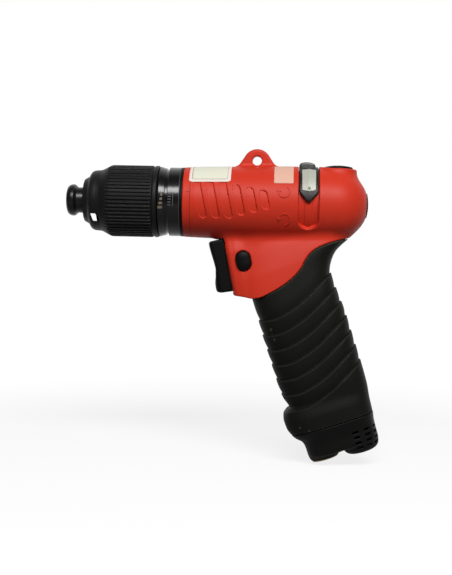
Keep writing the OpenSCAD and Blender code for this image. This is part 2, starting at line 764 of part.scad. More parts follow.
module inlet_bushing() {
    color("#b08d4a") in_handle() translate([-inlet_p, 0, -base_t - inlet_boss_len + 0.8]) difference() {
        cylinder(r = bushing_r, h = inlet_boss_len - 1.2);
        translate([0, 0, -1]) cylinder(r = inlet_r, h = 13);
        translate([0, 0, -1]) cylinder(r = passage_r, h = inlet_boss_len + 2);
        translate([0, 0, -0.01]) cylinder(r1 = inlet_r + 0.9, r2 = inlet_r - 0.1, h = 1);
    }
}

module inlet_screen() {
    color("#a7a9ab") in_handle() translate([-inlet_p, 0, -base_t - inlet_boss_len + 13.4]) difference() {
        cylinder(r = passage_r - fix_gap, h = 0.5);
        for (k = [0:5]) rotate([0, 0, 60 * k]) translate([passage_r / 2, 0, -1]) cylinder(r = 0.7, h = 3,
            $fn = 16);
    }
}

module exhaust_muffler() {
    floor_top = -base_t - exhaust_len + floor_t;
    color("#d8d2c0") in_handle() translate([exhaust_p, 0, floor_top + 0.05]) difference() {
        cylinder(r = exhaust_r - exhaust_wall - 0.2, h = exhaust_len - 4);
        translate([0, 0, 3]) cylinder(r = passage_r, h = exhaust_len);
    }
}

module top_plug() {
    seal_h = 1.2;
    color("#1c1d1e") translate([port_cx, 0, port_z + 0.02]) difference() {
        union() {
            rotate_extrude($fn = 72) polygon([[0, 0], [plug_r, 0], [plug_r, plug_h - 1],
                [plug_r - 0.6, plug_h - 0.4],
                [plug_r - 2, plug_h - 0.15], [0, plug_h]]);
            translate([0, 0, -7]) cylinder(r = tap_r - 0.02, h = 7.5);
        }
        // Groove of the seal
        translate([0, 0, -seal_h - 2]) difference() {
            cylinder(r = tap_r + 2, h = seal_h);
            translate([0, 0, -1]) cylinder(r = tap_r - 1, h = seal_h + 2);
        }
    }
}

module top_plug_seal() {
    color("#2b2b2b") translate([port_cx, 0, port_z - 2.58]) rotate_extrude($fn = 64)
        translate([tap_r - 0.52, 0]) circle(r = 0.48, $fn = 24);
}

module rear_plug() {
    color("#1c1d1e") on_barrel(chamber_rear_x1 - 0.5) difference() {
        rotate_extrude($fn = 72) polygon([[0, 0], [rear_bore_r - 0.02, 0],
            [rear_bore_r - 0.02, body_x1 - rear_disc_t - chamber_rear_x1 + 0.35],
            [rear_disc_r, body_x1 - rear_disc_t - chamber_rear_x1 + 0.35],
            [rear_disc_r, body_x1 - chamber_rear_x1 + 0.1],
                [rear_disc_r - 0.5, body_x1 - chamber_rear_x1 + 0.5],
            [0, body_x1 - chamber_rear_x1 + 0.5]]);
        // Groove of the seal
        translate([0, 0, 3]) difference() {
            cylinder(r = rear_bore_r + 2, h = 1.2);
            translate([0, 0, -1]) cylinder(r = rear_bore_r - 1, h = 4);
        }
    }
}

module rear_plug_seal() {
    color("#2b2b2b") on_barrel(chamber_rear_x1 + 3.1) rotate_extrude($fn = 64)
        translate([rear_bore_r - 0.52, 0]) circle(r = 0.48, $fn = 24);
}

// Steel clutch case with the black ring and its V groove
module clutch_case() {
    neck_x1 = ring_x0 + ring_neck;
    color("#17181a") difference() {
        on_barrel(0) rotate_extrude($fn = 120) polygon([
            [nose_brg_out - 1.6, case_x0], [case_bore_r - 0.6, case_x0], [case_bore_r - 0.6, seat_x0 - 1.2],
            [case_r, seat_x0 + 0.6], [case_r, ring_x0], [ring_r, ring_x0],
            [ring_r + 0.4, ring_x0 + 0.4], [ring_r - groove_d, neck_x1 - 1.2],
            [ring_r - groove_d, neck_x1], [ring_r - 0.2, neck_x1 + 0.2], [ring_r, neck_x1 + 0.5],
            [ring_r, ring_x1 - 0.4], [ring_r - 0.4, ring_x1], [spigot_r, ring_x1],
            [spigot_r, ring_x1 + spigot_len], [bore_r, ring_x1 + spigot_len],
                [bore_r, front_plate_x0 - 0.05],
            [case_bore_r, front_plate_x0 - 0.05], [case_bore_r, nose_x1 + clip_t],
            [nose_brg_out + 0.5, nose_x1 + clip_t], [nose_brg_out + 0.5, nose_x1],
            [nose_brg_out + fix_gap, nose_x1], [nose_brg_out + fix_gap, nose_x0],
            [nose_brg_out - 1.6, nose_x0]]);
        // Slots for the spring seat's lugs
        for (k = [0:2]) on_barrel(0) rotate([0, 0, 120 * k]) translate([case_bore_r - 2, -3.3,
            seat_x0 - 0.4])
            cube([6, 6.6, seat_len + seat_travel + 0.9]);
        // Groove of the cap's snap ring
        tube_x(cap_x1 - 3.6, cap_x1 - 2.3, case_r + 1, case_r - 0.9);
    }
}

module ring_gear() {
    tip = gear_m * (ring_z / 2 - 0.8);
    root = gear_m * (ring_z / 2 + 1);
    color("#7d7f80") on_barrel(gear_x0 - 0.2) linear_extrude(gear_face + 0.8) difference() {
        circle(r = case_bore_r - fix_gap, $fn = 120);
        gear_2d(ring_z, root, tip, -backlash / 2);
    }
}

// Shielded ball bearing, seen as two races with shields between
module bearing(ri, ro, w) {
    third = (ro - ri) / 3;
    rotate_extrude($fn = 72) polygon([[ri, 0], [ri + third, 0], [ri + third, 0.5], [ro - third, 0.5],
        [ro - third, 0],
        [ro, 0], [ro, w], [ro - third, w], [ro - third, w - 0.5], [ri + third, w - 0.5], [ri + third, w],
            [ri, w]]);
}

module nose_bearing() {
    color("#b9bcbf") on_barrel(nose_x0) bearing(nose_brg_in + 0.02, nose_brg_out, nose_brg_w - 0.02);
}

module nose_clip() {
    color("#6e7072") on_barrel(nose_x1 + 0.02) difference() {
        cylinder(r = nose_brg_out + 0.45, h = clip_t - 0.06, $fn = 72);
        translate([0, 0, -1]) cylinder(r = nose_brg_out - 1.4, h = clip_t + 2, $fn = 72);
        translate([0, -1.5, -1]) cube([20, 3, clip_t + 2]);
    }
}

module cap_snap_ring() {
    color("#6e7072") on_barrel(cap_x1 - 3.5) difference() {
        cylinder(r = case_r + 0.75, h = 1.1, $fn = 72);
        translate([0, 0, -1]) cylinder(r = case_r - 0.85, h = 4, $fn = 72);
        translate([-20, -2, -1]) cube([20, 4, 4]);
    }
}

module front_end_plate() {
    color("#9c9ea0") on_barrel(front_plate_x0) difference() {
        cylinder(r = motor_r, h = plate_len, $fn = 96);
        translate([0, 0, -1]) cylinder(r = rotor_brg_out + fix_gap, h = rotor_brg_w + 1, $fn = 72);
        cylinder(r = rotor_brg_in + 1, h = plate_len + 1);
    }
}

module front_rotor_bearing() {
    color("#b9bcbf") on_barrel(front_plate_x0 + 0.05) bearing(rotor_brg_in + 0.02, rotor_brg_out,
        rotor_brg_w - 0.05);
}

module motor_cylinder() {
    color("#85878a") on_barrel(front_plate_x1) difference() {
        cylinder(r = motor_r, h = motor_len, $fn = 96);
        translate([motor_ecc, 0, -1]) cylinder(r = cyl_bore_r, h = motor_len + 2, $fn = 96);
        // Exhaust ports
        for (k = [-1:1]) translate([motor_r - 3, -5, motor_len / 2 + 8 * k - 1.5]) cube([6, 10, 3]);
    }
}

module rear_end_plate() {
    color("#9c9ea0") on_barrel(cyl_x1) difference() {
        cylinder(r = motor_r, h = plate_len, $fn = 96);
        translate([0, 0, web_t]) cylinder(r = rotor_brg_out + fix_gap, h = plate_len, $fn = 72);
        translate([0, 0, -1]) cylinder(r = rotor_brg_in + 1, h = plate_len);
        // Air ports to the two sides of the motor
        for (side = [-1, 1]) translate([0, side * (motor_r - 2.4), -1]) cylinder(r = 1.5,
            h = plate_len + 2, $fn = 24);
    }
}

module rear_rotor_bearing() {
    color("#b9bcbf") on_barrel(cyl_x1 + web_t) bearing(rotor_brg_in + 0.02, rotor_brg_out,
        rotor_brg_w - 0.05);
}

module stem_bush() {
    color("#b08d4a") in_trigger() translate([bush_d0 + 0.05, 0, 0]) rotate([0, 90, 0]) difference() {
        cylinder(r = chamber_r - fix_gap, h = bush_d1 - bush_d0);
        translate([0, 0, -1]) cylinder(r = stem_r + run_gap, h = 20);
    }
}

module valve_seat() {
    color("#b08d4a") in_trigger() translate([seat_d0, 0, 0]) rotate([0, 90, 0]) difference() {
        cylinder(r = chamber_r - fix_gap, h = seat_d1 - seat_d0);
        translate([0, 0, -1]) cylinder(r = stem_r + 1.2, h = 20);
    }
}

module valve_spring() {
    color("#9a9c9e") in_trigger() translate([disc_d1 + 0.3, 0, 0]) rotate([0, 90, 0])
        coil(spring_d1 - disc_d1 - 0.4, chamber_r - 2.6, 0.45, 4);
}

module bit_holder() {
    rear_x = carrier_x1 - 0.2;
    color("#8f9193") difference() {
        union() {
            rod_x(0, case_x0 - 0.1, holder_r);
            rod_x(case_x0 - 0.1, nose_x1 + 0.6, nose_brg_in);
            on_barrel(nose_x1 + 0.5) cylinder(d = spindle_af / cos(30), h = carrier_x0 - nose_x1 - 0.5,
                $fn = 6);
            rod_x(carrier_x0 - 0.1, rear_x, pilot_r);
        }
        on_barrel(-1) cylinder(d = (bit_af + bit_play) / cos(30), h = socket_depth + 1, $fn = 6);
        on_barrel(-0.01) cylinder(r1 = bit_af / 2 + 0.9, r2 = bit_af / 2 - 0.1, h = 1);
        // Holes of the retaining balls
        translate([lock_x, 0, 0]) rotate([90, 0, 0]) cylinder(r = lock_ball_r + 0.05, h = 30,
            center = true, $fn = 32);
        // Groove of the collar's clip
        tube_x(clip_x0, clip_x0 + 1.1, holder_r + 1, holder_r - 0.45);
    }
}

module retaining_balls() {
    color("#c4c7ca") for (side = [-1, 1]) translate([lock_x, side * (holder_r - lock_ball_r), 0])
        sphere(r = lock_ball_r, $fn = 32);
}

module collar_clip() {
    color("#6e7072") on_barrel(clip_x0 + 0.03) difference() {
        cylinder(r = holder_r + 0.75, h = 1.04);
        translate([0, 0, -1]) cylinder(r = holder_r - 0.42, h = 4);
        translate([0, -1.2, -1]) cube([10, 2.4, 4]);
    }
}

module bit_collar() {
    color("#26272a") on_barrel(0) rotate_extrude($fn = 96) difference() {
        union() {
            translate([0, 1]) square([flange_r, flange_len - 1.6]);
            square([flange_r - 1, flange_len]);
            translate([flange_r - 1, 1]) circle(r = 1, $fn = 32);
            square([neck_r, collar_x1]);
        }
        translate([-1, -1]) square([holder_r + run_gap + 1, collar_x1 + 2]);
        translate([-1, -1]) square([spring_room_r + 1, collar_seat_x + 1]);
        translate([-1, relief_x]) square([spring_room_r + 1, collar_x1 - relief_x - 1]);
    }
}

module collar_spring() {
    color("#9a9c9e") on_barrel(clip_x0 + 1.25) coil(collar_seat_x - clip_x0 - 1.35, holder_r + 0.55,
        collar_wire_r, 4);
}

module clutch_jaw() {
    color("#808284") difference() {
        rod_x(jaw_x0, jaw_x1, clutch_ball_pitch + clutch_ball_r + 1);
        on_barrel(jaw_x0 - 1) cylinder(d = (spindle_af + 0.1) / cos(30), h = jaw_len + 2, $fn = 6);
        ball_set(clutch_ball_r + 0.04);
    }
}

module ball_set(r) {
    for (k = [0:clutch_balls_n - 1]) on_barrel(ball_x) rotate([0, 0, 360 / clutch_balls_n * k + 20])
        translate([clutch_ball_pitch, 0, 0]) sphere(r = r, $fn = 40);
}

module clutch_balls() {
    color("#c4c7ca") ball_set(clutch_ball_r);
}

module planet_carrier() {
    color("#808284") difference() {
        rod_x(carrier_x0, carrier_x1, case_bore_r - 0.6);
        ball_set(clutch_ball_r + 0.04);
        rod_x(carrier_x0 - 1, carrier_x1 + 1, pilot_r + fix_gap);
        for (k = [0:2]) on_barrel(carrier_x0 - 1) rotate([0, 0, 120 * k]) translate([planet_pos, 0, 0])
            cylinder(r = pin_r + 0.01, h = 20, $fn = 32);
    }
}

module planet_pins() {
    color("#b9bcbf") for (k = [0:2]) on_barrel(carrier_x0 + 1) rotate([0, 0,
        120 * k]) translate([planet_pos, 0, 0])
        cylinder(r = pin_r, h = gear_x1 - carrier_x0 - 0.8, $fn = 32);
}

module clutch_spring() {
    color("#8d8f92") on_barrel(thrust_x1 + 0.1) coil(jaw_x0 - thrust_x1 - 0.2, clutch_ball_pitch + 0.9,
        clutch_wire_r, 2.2);
}

// Knurled clutch cap with its domed front
module torque_cap() {
    body = cap_r - rib_h;
    relief_x1 = seat_x1 + seat_travel + 1.4;
    color("#2a2c2b") difference() {
        union() {
            on_barrel(0) rotate_extrude($fn = 120) union() {
                translate([dome_r - dome_round, cap_x0 + dome_round]) circle(r = dome_round, $fn = 72);
                translate([0, cap_x0]) square([dome_r - dome_round, cap_len - band_len]);
                translate([0, cap_x0 + dome_round]) square([dome_r, cap_len - band_len - dome_round]);
                polygon([[0, knurl_x0], [dome_r, knurl_x0], [body, knurl_x0 + taper_len], [body, knurl_x1],
                    [0, knurl_x1]]);
                polygon([[0, knurl_x1 - 0.01], [body, knurl_x1 - 0.01], [cap_r - 0.3, knurl_x1 + 0.6],
                    [cap_r, knurl_x1 + 1.4],
                    [cap_r, cap_x1 - 1.2], [cap_r - 0.35, cap_x1 - 0.4], [cap_r - 1.1, cap_x1],
                        [0, cap_x1]]);
            }
            // Knurl of axial ribs, running out on the taper
            intersection() {
                on_barrel(knurl_x0) linear_extrude(knurl_x1 - knurl_x0 + 0.3) difference() {
                    polygon([for (k = [0:rib_count - 1],
                        c = [[0, body - 0.3], [0.22, body - 0.2], [0.36, cap_r - 0.12],
                        [0.5, cap_r], [0.64, cap_r - 0.12], [0.78, body - 0.2]])
                        let (a = 360 / rib_count * (k + c[0])) [c[1] * cos(a), c[1] * sin(a)]]);
                    circle(r = body - 1.2);
                }
                on_barrel(0) rotate_extrude($fn = 120) polygon([[body - 2, knurl_x0 + 0.2],
                    [dome_r + 0.4, knurl_x0 + 0.2], [cap_r + 0.6, knurl_x0 + taper_len + 1.8],
                    [cap_r + 0.6, knurl_x1 + 1], [body - 2, knurl_x1 + 1]]);
            }
        }
        rod_x(cap_x0 - 1, cap_x0 + dome_wall + 1, neck_r + 0.45);
        rod_x(cap_x0 + dome_wall, seat_x0 - 0.6, dome_r - dome_wall);
        rod_x(seat_x0 - 0.7, relief_x1, case_r + 1.1);
        rod_x(relief_x1 - 1, cap_x1 + 1, case_r + run_gap);
        tube_x(cap_x1 - 3.8, cap_x1 - 2.1, case_r + 1, case_r - 1);
        // Windows below the collar, one on each side
        translate([cap_x0 + 1.2, -30, -neck_r - window_h]) cube([window_len, 60, window_h]);
    }
}

// Spring seat with three lugs that reach into the cap's thread
module spring_seat() {
    color("#8a8c8e") difference() {
        union() {
            rod_x(seat_x0, seat_x1, case_bore_r - 0.2);
            for (k = [0:2]) on_barrel(seat_x0) rotate([0, 0, 120 * k]) translate([case_bore_r - 3, -3, 0])
                cube([case_r + 0.7 - case_bore_r + 3, 6, seat_len]);
        }
        rod_x(seat_x0 - 1, seat_x1 + 1, spindle_af / 2 / cos(30) + 0.8);
    }
}

module thrust_bearing() {
    in = spindle_af / 2 / cos(30) + 0.8;
    out = case_bore_r - 1;
    color("#b9bcbf") on_barrel(seat_x1) rotate_extrude($fn = 72)
        polygon([[in, 0], [out, 0], [out, 0.8], [out - 1.2, 0.8],
        [out - 1.2, thrust_len - 0.8], [out, thrust_len - 0.8], [out, thrust_len], [in, thrust_len],
        [in, thrust_len - 0.8], [in + 1.2, thrust_len - 0.8], [in + 1.2, 0.8], [in, 0.8]]);
}

module planet(k) {
    color("#95979a") on_barrel(gear_x0) rotate([0, 0, 120 * k]) translate([planet_pos, 0, 0])
        linear_extrude(gear_face) difference() {
            gear_2d(planet_z, gear_m * (planet_z / 2 + 0.8), gear_m * (planet_z / 2 - 1), backlash / 2);
            circle(r = pin_r + run_gap, $fn = 32);
        }
}

module planet_gear_1() {
    planet(0);
}

module planet_gear_2() {
    planet(1);
}

module planet_gear_3() {
    planet(2);
}

module rotor() {
    color("#7a7c7e") difference() {
        union() {
            rod_x(front_plate_x1 + 0.2, cyl_x1 - 0.2, rotor_r);
            rod_x(front_plate_x0, rear_plate_x1 - 0.2, rotor_brg_in);
            rod_x(gear_x0 + 0.3, front_plate_x0 + 0.1, sun_bore_r);
        }
        for (k = [0:4]) on_barrel(front_plate_x1) rotate([0, 0, 72 * k]) translate([vane_in - 0.1,
            -vane_t / 2 - 0.06, -1])
            cube([rotor_r, vane_t + 0.12, motor_len + 2]);
    }
}

module rotor_vanes() {
    color("#6a5a3c") for (k = [0:4]) on_barrel(front_plate_x1 + 0.3) rotate([0, 0, 72 * k])
        translate([vane_in, -vane_t / 2, 0]) cube([rotor_r - vane_in - 0.1, vane_t, motor_len - 0.6]);
}

module sun_gear() {
    color("#95979a") on_barrel(gear_x0 + 0.1) linear_extrude(gear_face - 0.1) difference() {
        gear_2d(sun_z, gear_m * (sun_z / 2 + 0.8), gear_m * (sun_z / 2 - 1), backlash / 2);
        circle(r = sun_bore_r + 0.01, $fn = 40);
    }
}

// Trigger with a hollowed front and rounded front edges
module trigger() {
    back = 0.4;
    color("#1b1c1d") in_trigger() difference() {
        intersection() {
            translate([0, trigger_w, 0]) rotate([90, 0, 0]) linear_extrude(2 * trigger_w) polygon([
                [back, trigger_top], [-trigger_reach + 5, trigger_top],
                    [-trigger_reach + 0.9, trigger_top - 0.4],
                [-trigger_reach, trigger_top - 1.4], [-trigger_reach + 0.1, trigger_top - 5],
                [-trigger_reach + 1, trigger_top - 9.5], [-trigger_reach + 1.2, -1],
                    [-trigger_reach + 0.4, -trigger_bottom + 9.7],
                [-trigger_reach - 1, -trigger_bottom + 6], [-trigger_reach - 1.3, -trigger_bottom + 3.6],
                [-trigger_reach - 0.3, -trigger_bottom + 1.4], [-trigger_reach + 2, -trigger_bottom + 0.6],
                    [back, -trigger_bottom]]);
            translate([0, 0, -40]) linear_extrude(80) union() {
                translate([-trigger_reach - 1.4 + trigger_w, 0]) circle(r = trigger_w, $fn = 72);
                translate([-trigger_reach + trigger_w - 1.4, -trigger_w]) square([40, 2 * trigger_w]);
            }
        }
        translate([-3, 0, 0]) rotate([0, 90, 0]) cylinder(r = stem_r + 0.01, h = 10);
        translate([-1.4, 0, 0]) rotate([90, 0, 0]) cylinder(r = 0.81, h = 30, center = true, $fn = 20);
    }
}

module trigger_pin() {
    color("#9a9c9e") in_trigger() translate([-1.4, 0, 0]) rotate([90, 0, 0])
        cylinder(r = 0.8, h = 2 * trigger_w - 0.6, center = true, $fn = 20);
}

module valve_stem() {
    color("#b9bcbf") in_trigger() difference() {
        translate([-2.9, 0, 0]) rotate([0, 90, 0]) cylinder(r = stem_r, h = disc_d1 + 2.9);
        translate([-1.4, 0, 0]) rotate([90, 0, 0]) cylinder(r = 0.81, h = 30, center = true, $fn = 20);
    }
}

module valve_disc() {
    color("#3a3a38") in_trigger() translate([seat_d1 + 0.05, 0, 0]) rotate([0, 90, 0]) difference() {
        cylinder(r = chamber_r - 1.6, h = disc_d1 - seat_d1 - 0.05);
        translate([0, 0, -1]) cylinder(r = stem_r + 0.01, h = 20);
    }
}

// Oval cross button with a slot for the valve stem
module lock_button() {
    near = block_w - 0.9;
    far = block_w - 0.9 + button_travel;
    color("#17181a") in_trigger() difference() {
        translate([button_d, far, 0]) rotate([90, 0, 0]) linear_extrude(near + far)
            oblong(button_w, button_h);
        translate([button_d - 20, 0, 0]) rotate([0, 90, 0]) linear_extrude(40) {
            circle(r = stem_r + 0.4);
            translate([0, button_travel]) circle(r = stem_r + 0.4);
            translate([-stem_r - 0.4, 0]) square([2 * stem_r + 0.8, button_travel]);
        }
    }
}

// Reverse lever: pointed band in its track, thumb knob and drive stud
module reverse_lever() {
    x0 = lev_x - lever_w / 2;
    x1 = lev_x + lever_w / 2;
    tip_z = lever_in * sin(lever_a0);
    color("#9fa1a2") difference() {
        union() {
            intersection() {
                arc_x(x0, x1, lever_in, lever_out, lever_a0, lever_a1);
                translate([0, 40, 0]) rotate([90, 0, 0]) linear_extrude(80)
                    polygon([[x0 - 1, 60], [x0 - 1, tip_z + 6], [lev_x - 1, tip_z], [lev_x + 1, tip_z],
                        [x1 + 1, tip_z + 6], [x1 + 1, 60]]);
            }
            translate([lev_x - lever_w / 2 + 0.4, 5, 0]) rotate([90, 0, 0]) linear_extrude(11)
                polygon([[0, lever_out - 2.4],
                [0.1, knob_z - 2], [1.2, knob_z - 0.6], [3.4, knob_z], [5.6, knob_z - 0.1],
                    [8, knob_z - 0.9], [9, knob_z - 2],
                [9.2, lever_out - 2.4]]);
            on_barrel(lev_x) rotate([0, 0, 270 - stud_a]) rotate([0, 90, 0]) translate([0, 0, bore_r - 2])
                cylinder(r = stud_r, h = lever_in - bore_r + 3);
        }
        arc_x(lev_x - strip_w / 2 - 0.3, lev_x + strip_w / 2 + 0.3, track_r - 0.5,
            track_r + strip_h + 0.35, stud_a + 9, lever_a1 + 5);
        arc_x(lev_x - strip_w / 2 - 0.3, lev_x + strip_w / 2 + 0.3, track_r - 0.5,
            track_r + strip_h + 0.35, -20, stud_a - 9);
    }
}

// Rotary reverse valve behind the motor
module reverse_valve() {
    color("#a58a5a") difference() {
        tube_x(drum_x0, drum_x1, motor_r - 0.03, motor_r - drum_wall);
        on_barrel(lev_x) rotate([0, 0, 270 - stud_a]) rotate([0, 90, 0])
            cylinder(r = stud_r + 0.02, h = 40);
        // Ports to the motor and from the throttle
        for (a = [30, 150]) on_barrel(drum_x0 - 1) rotate([0, 0, a]) translate([motor_r - 2, 0,
            0]) cylinder(r = 1.2, h = 5, $fn = 24);
    }
}

motor_housing();
grip_sleeve();
base_cap();
base_screws();
inlet_bushing();
inlet_screen();
exhaust_muffler();
top_plug();
top_plug_seal();
rear_plug();
rear_plug_seal();
clutch_case();
ring_gear();
nose_bearing();
nose_clip();
cap_snap_ring();
front_end_plate();
front_rotor_bearing();
motor_cylinder();
rear_end_plate();
rear_rotor_bearing();
stem_bush();
valve_seat();
valve_spring();
bit_holder();
retaining_balls();
collar_clip();
clutch_jaw();
clutch_balls();
planet_carrier();
planet_pins();
clutch_spring();
collar_spring();
bit_collar();
torque_cap();
spring_seat();
thrust_bearing();
planet_gear_1();
planet_gear_2();
planet_gear_3();
rotor();
rotor_vanes();
sun_gear();
trigger();
trigger_pin();
valve_stem();
valve_disc();
lock_button();
reverse_lever();
reverse_valve();
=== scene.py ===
import json
import math
import bpy
import numpy as np
from mathutils import Matrix, Vector


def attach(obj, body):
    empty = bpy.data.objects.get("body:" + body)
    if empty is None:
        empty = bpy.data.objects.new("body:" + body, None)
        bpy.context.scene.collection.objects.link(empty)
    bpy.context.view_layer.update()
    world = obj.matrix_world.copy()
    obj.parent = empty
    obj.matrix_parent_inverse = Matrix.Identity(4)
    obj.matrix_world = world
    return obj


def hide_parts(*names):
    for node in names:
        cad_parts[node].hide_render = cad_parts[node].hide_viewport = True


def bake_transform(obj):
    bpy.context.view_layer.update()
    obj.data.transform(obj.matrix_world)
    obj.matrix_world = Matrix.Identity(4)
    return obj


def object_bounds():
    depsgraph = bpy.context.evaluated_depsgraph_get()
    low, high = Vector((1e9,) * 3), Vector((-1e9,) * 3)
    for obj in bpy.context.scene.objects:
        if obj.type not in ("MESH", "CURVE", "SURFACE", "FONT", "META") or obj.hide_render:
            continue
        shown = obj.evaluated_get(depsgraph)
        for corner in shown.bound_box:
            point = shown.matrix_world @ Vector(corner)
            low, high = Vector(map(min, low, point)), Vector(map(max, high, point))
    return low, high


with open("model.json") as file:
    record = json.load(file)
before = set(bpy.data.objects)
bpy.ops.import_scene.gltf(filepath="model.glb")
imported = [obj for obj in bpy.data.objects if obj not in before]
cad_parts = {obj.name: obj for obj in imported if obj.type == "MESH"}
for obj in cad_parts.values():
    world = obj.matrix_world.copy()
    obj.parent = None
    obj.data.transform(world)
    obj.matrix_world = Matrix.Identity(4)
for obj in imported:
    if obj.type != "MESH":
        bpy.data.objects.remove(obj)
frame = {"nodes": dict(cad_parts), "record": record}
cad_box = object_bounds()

MM = 0.001
nodes = frame["nodes"]

# Places along the barrel, in millimetres, as in the part's source
KNURL_X1, CAP_X1 = 48.8, 52.0
RING_R = 19.1
CONE_X0, CONE_X1, CONE_R, CONE_FALL = 52.75, 56.15, 19.4, 1.0
BODY_X0, RED_X0 = 64.5, 65.9
REAR_CX, REAR_R, REAR_FLAT_X = 147.9, 19.8, 166.5
PORT_X, PORT_R, PORT_Z = 150.6, 10.4, 19.6
LEVER_X, LEVER_HALF, TRACK_HALF, TRACK_R = 134.4, 5.2, 5.6, 18.2
HANGER_X, HANGER_Z, HANGER_HOLE = 105.8, 23.6, 2.6
HEAD_Z, HEAD_R, FLANK = 22.4, 7.7, math.radians(33.4)
HANDLE_X, HANDLE_Z, TILT = 125.2, -20.0, math.radians(18.8)
TRIGGER_X, TRIGGER_Z, TRIGGER_TILT = 91.4, -34.0, math.radians(12.9)
HANDLE_LEN, BASE_T = 103.0, 103.2
INLET_P, EXHAUST_P = -17.4, 3.6
BUTTON_D, BUTTON_HALF, BUTTON_R, BUTTON_HOLE_R = 8.6, 1.4, 4.05, 4.2

# Half the gap between red shell and rubber, and the power of the handle's rounded sections
SEAM_GAP, POWER = 0.12, 3.0

# Radii of the arcs on which the track, the lever and the labels are laid out
TRACK_ARC, LEVER_ARC, LABEL_ARC = 19.5, 19.6, 19.8

# Angles round the barrel in degrees: ends of track and lever, and middle of the stud's window and stud
TRACK_LOW, TRACK_HIGH, WINDOW_AT = -27, 121, 37
LEVER_LOW, LEVER_HIGH, STUD_AT = 1.0, 118, 58


# curves and distance fields
def curve(points):
    """Smooth function through the points, flat beyond both ends."""
    xs, ys = np.array(points, float).T
    slope = np.diff(ys) / np.diff(xs)
    tangent = np.zeros(len(xs))
    for i in range(1, len(xs) - 1):
        if slope[i - 1] * slope[i] > 0:
            tangent[i] = 2 * slope[i - 1] * slope[i] / (slope[i - 1] + slope[i])
    tangent[0], tangent[-1] = slope[0], slope[-1]
    fine = np.linspace(xs[0], xs[-1], 900)
    i = np.clip(np.searchsorted(xs, fine) - 1, 0, len(xs) - 2)
    h = xs[i + 1] - xs[i]
    s = (fine - xs[i]) / h
    value = ((1 + 2 * s) * (1 - s) ** 2 * ys[i] + s * (1 - s) ** 2 * h * tangent[i]
             + s * s * (3 - 2 * s) * ys[i + 1] + s * s * (s - 1) * h * tangent[i + 1])
    return lambda q: np.interp(q, fine, value)


def smin(a, b, k):
    """Smaller of two fields, blended over the width k."""
    h = np.clip(0.5 + 0.5 * (b - a) / k, 0, 1)
    return b * (1 - h) + a * h - k * h * (1 - h)


def smax(a, b, k):
    """Larger of two fields, blended over the width k."""
    return -smin(-a, -b, k)


def ramp(low, high, q):
    """Smooth rise from 0 at low to 1 at high."""
    s = np.clip((q - low) / (high - low), 0, 1)
    return s * s * (3 - 2 * s)


def box_2d(a, b, half_a, half_b, r):
    """Distance to a rounded rectangle round the origin."""
    u, v = np.abs(a) - half_a + r, np.abs(b) - half_b + r
    return np.hypot(np.maximum(u, 0), np.maximum(v, 0)) + np.minimum(np.maximum(u, v), 0) - r


def slab(q, low, high):
    """Distance to the stretch from low to high."""
    return np.abs(q - (low + high) / 2) - (high - low) / 2


def polygon_2d(a, b, points):
    """Signed distance to a polygon."""
    best = np.full(a.shape, 1e9)
    inside = np.zeros(a.shape, bool)
    n = len(points)
    for i in range(n):
        (ax, ay), (bx, by) = points[i], points[(i + 1) % n]
        ex, ey = bx - ax, by - ay
        s = np.clip(((a - ax) * ex + (b - ay) * ey) / (ex * ex + ey * ey), 0, 1)
        best = np.minimum(best, (a - ax - s * ex) ** 2 + (b - ay - s * ey) ** 2)
        if ay != by:
            crosses = ((ay > b) != (by > b)) & (a < ex * (b - ay) / ey + ax)
            inside ^= crosses
    return np.where(inside, -1, 1) * np.sqrt(best)


def handle(x, z):
    """Handle frame: p to the rear, t down along the handle."""
    dx, dz = x - HANDLE_X, z - HANDLE_Z
    return dx * math.cos(TILT) + dz * math.sin(TILT), dx * math.sin(TILT) - dz * math.cos(TILT)


def trigger_frame(x, z):
    """Trigger frame: d along its travel, e upwards."""
    dx, dz = x - TRIGGER_X, z - TRIGGER_Z
    c, s = math.cos(TRIGGER_TILT), math.sin(TRIGGER_TILT)
    return dx * c + dz * s, dz * c - dx * s


def section(p, y, front, rear, width):
    """Distance to a rounded section of the handle."""
    mid, half = (front + rear) / 2, (rear - front) / 2
    u, v = np.abs(p - mid) / half, np.abs(y) / width
    q = np.maximum((u ** POWER + v ** POWER) ** (1 / POWER), 0.05)
    gu, gv = (u / q) ** (POWER - 1) / half, (v / q) ** (POWER - 1) / width
    return (q - 1) / np.maximum(np.hypot(gu, gv), 0.02)


barrel_r = curve([(60, 19.2), (64.5, 19.3), (85, 19.95), (105, 20.5), (119, 20.78), (132.5, 20.9),
                  (141, 20.5), (147.9, 19.85)])
rear_edge = curve([(-20, 30), (0, 33), (5, 31), (8.6, 29), (10.6, 26), (13.8, 21.5), (17.6, 18.4),
                   (21, 16.8), (25, 16.1), (38, 16.7), (46, 17.3), (74, 17.3), (87, 16.9), (96, 15.8),
                   (103, 15.3)])
half_width = curve([(-20, 9.6), (-4, 10.6), (3, 12.4), (9, 13.8), (14, 14.7), (26, 15.65), (40, 16.5),
                    (81, 16.5), (89, 15.9), (96, 16.8), (103, 16.5)])
grip_front = curve([(0, -30), (30, -30), (48, -30.6), (76, -30.6), (82, -30), (87.5, -28.8), (91, -32.5),
                    (95, -33.4), (99, -33.2), (103, -31.9)])
block_front = curve([(-20, -34.2), (2.36, -36.51), (20.5, -38.4), (30, -39.4)])
seam_t = curve([(-46, 16.7), (-37.7, 20.5), (-33.5, 22.5), (-29.6, 24.5), (-25.1, 25.2), (-18.6, 24.3),
                (-11.9, 22.7), (-4.6, 19.9), (0.6, 16.6), (4.9, 12.4), (9, 9.8), (13.5, 8.5), (21.2, 8.0),
                (29.2, 8.6), (36, 9.2)])
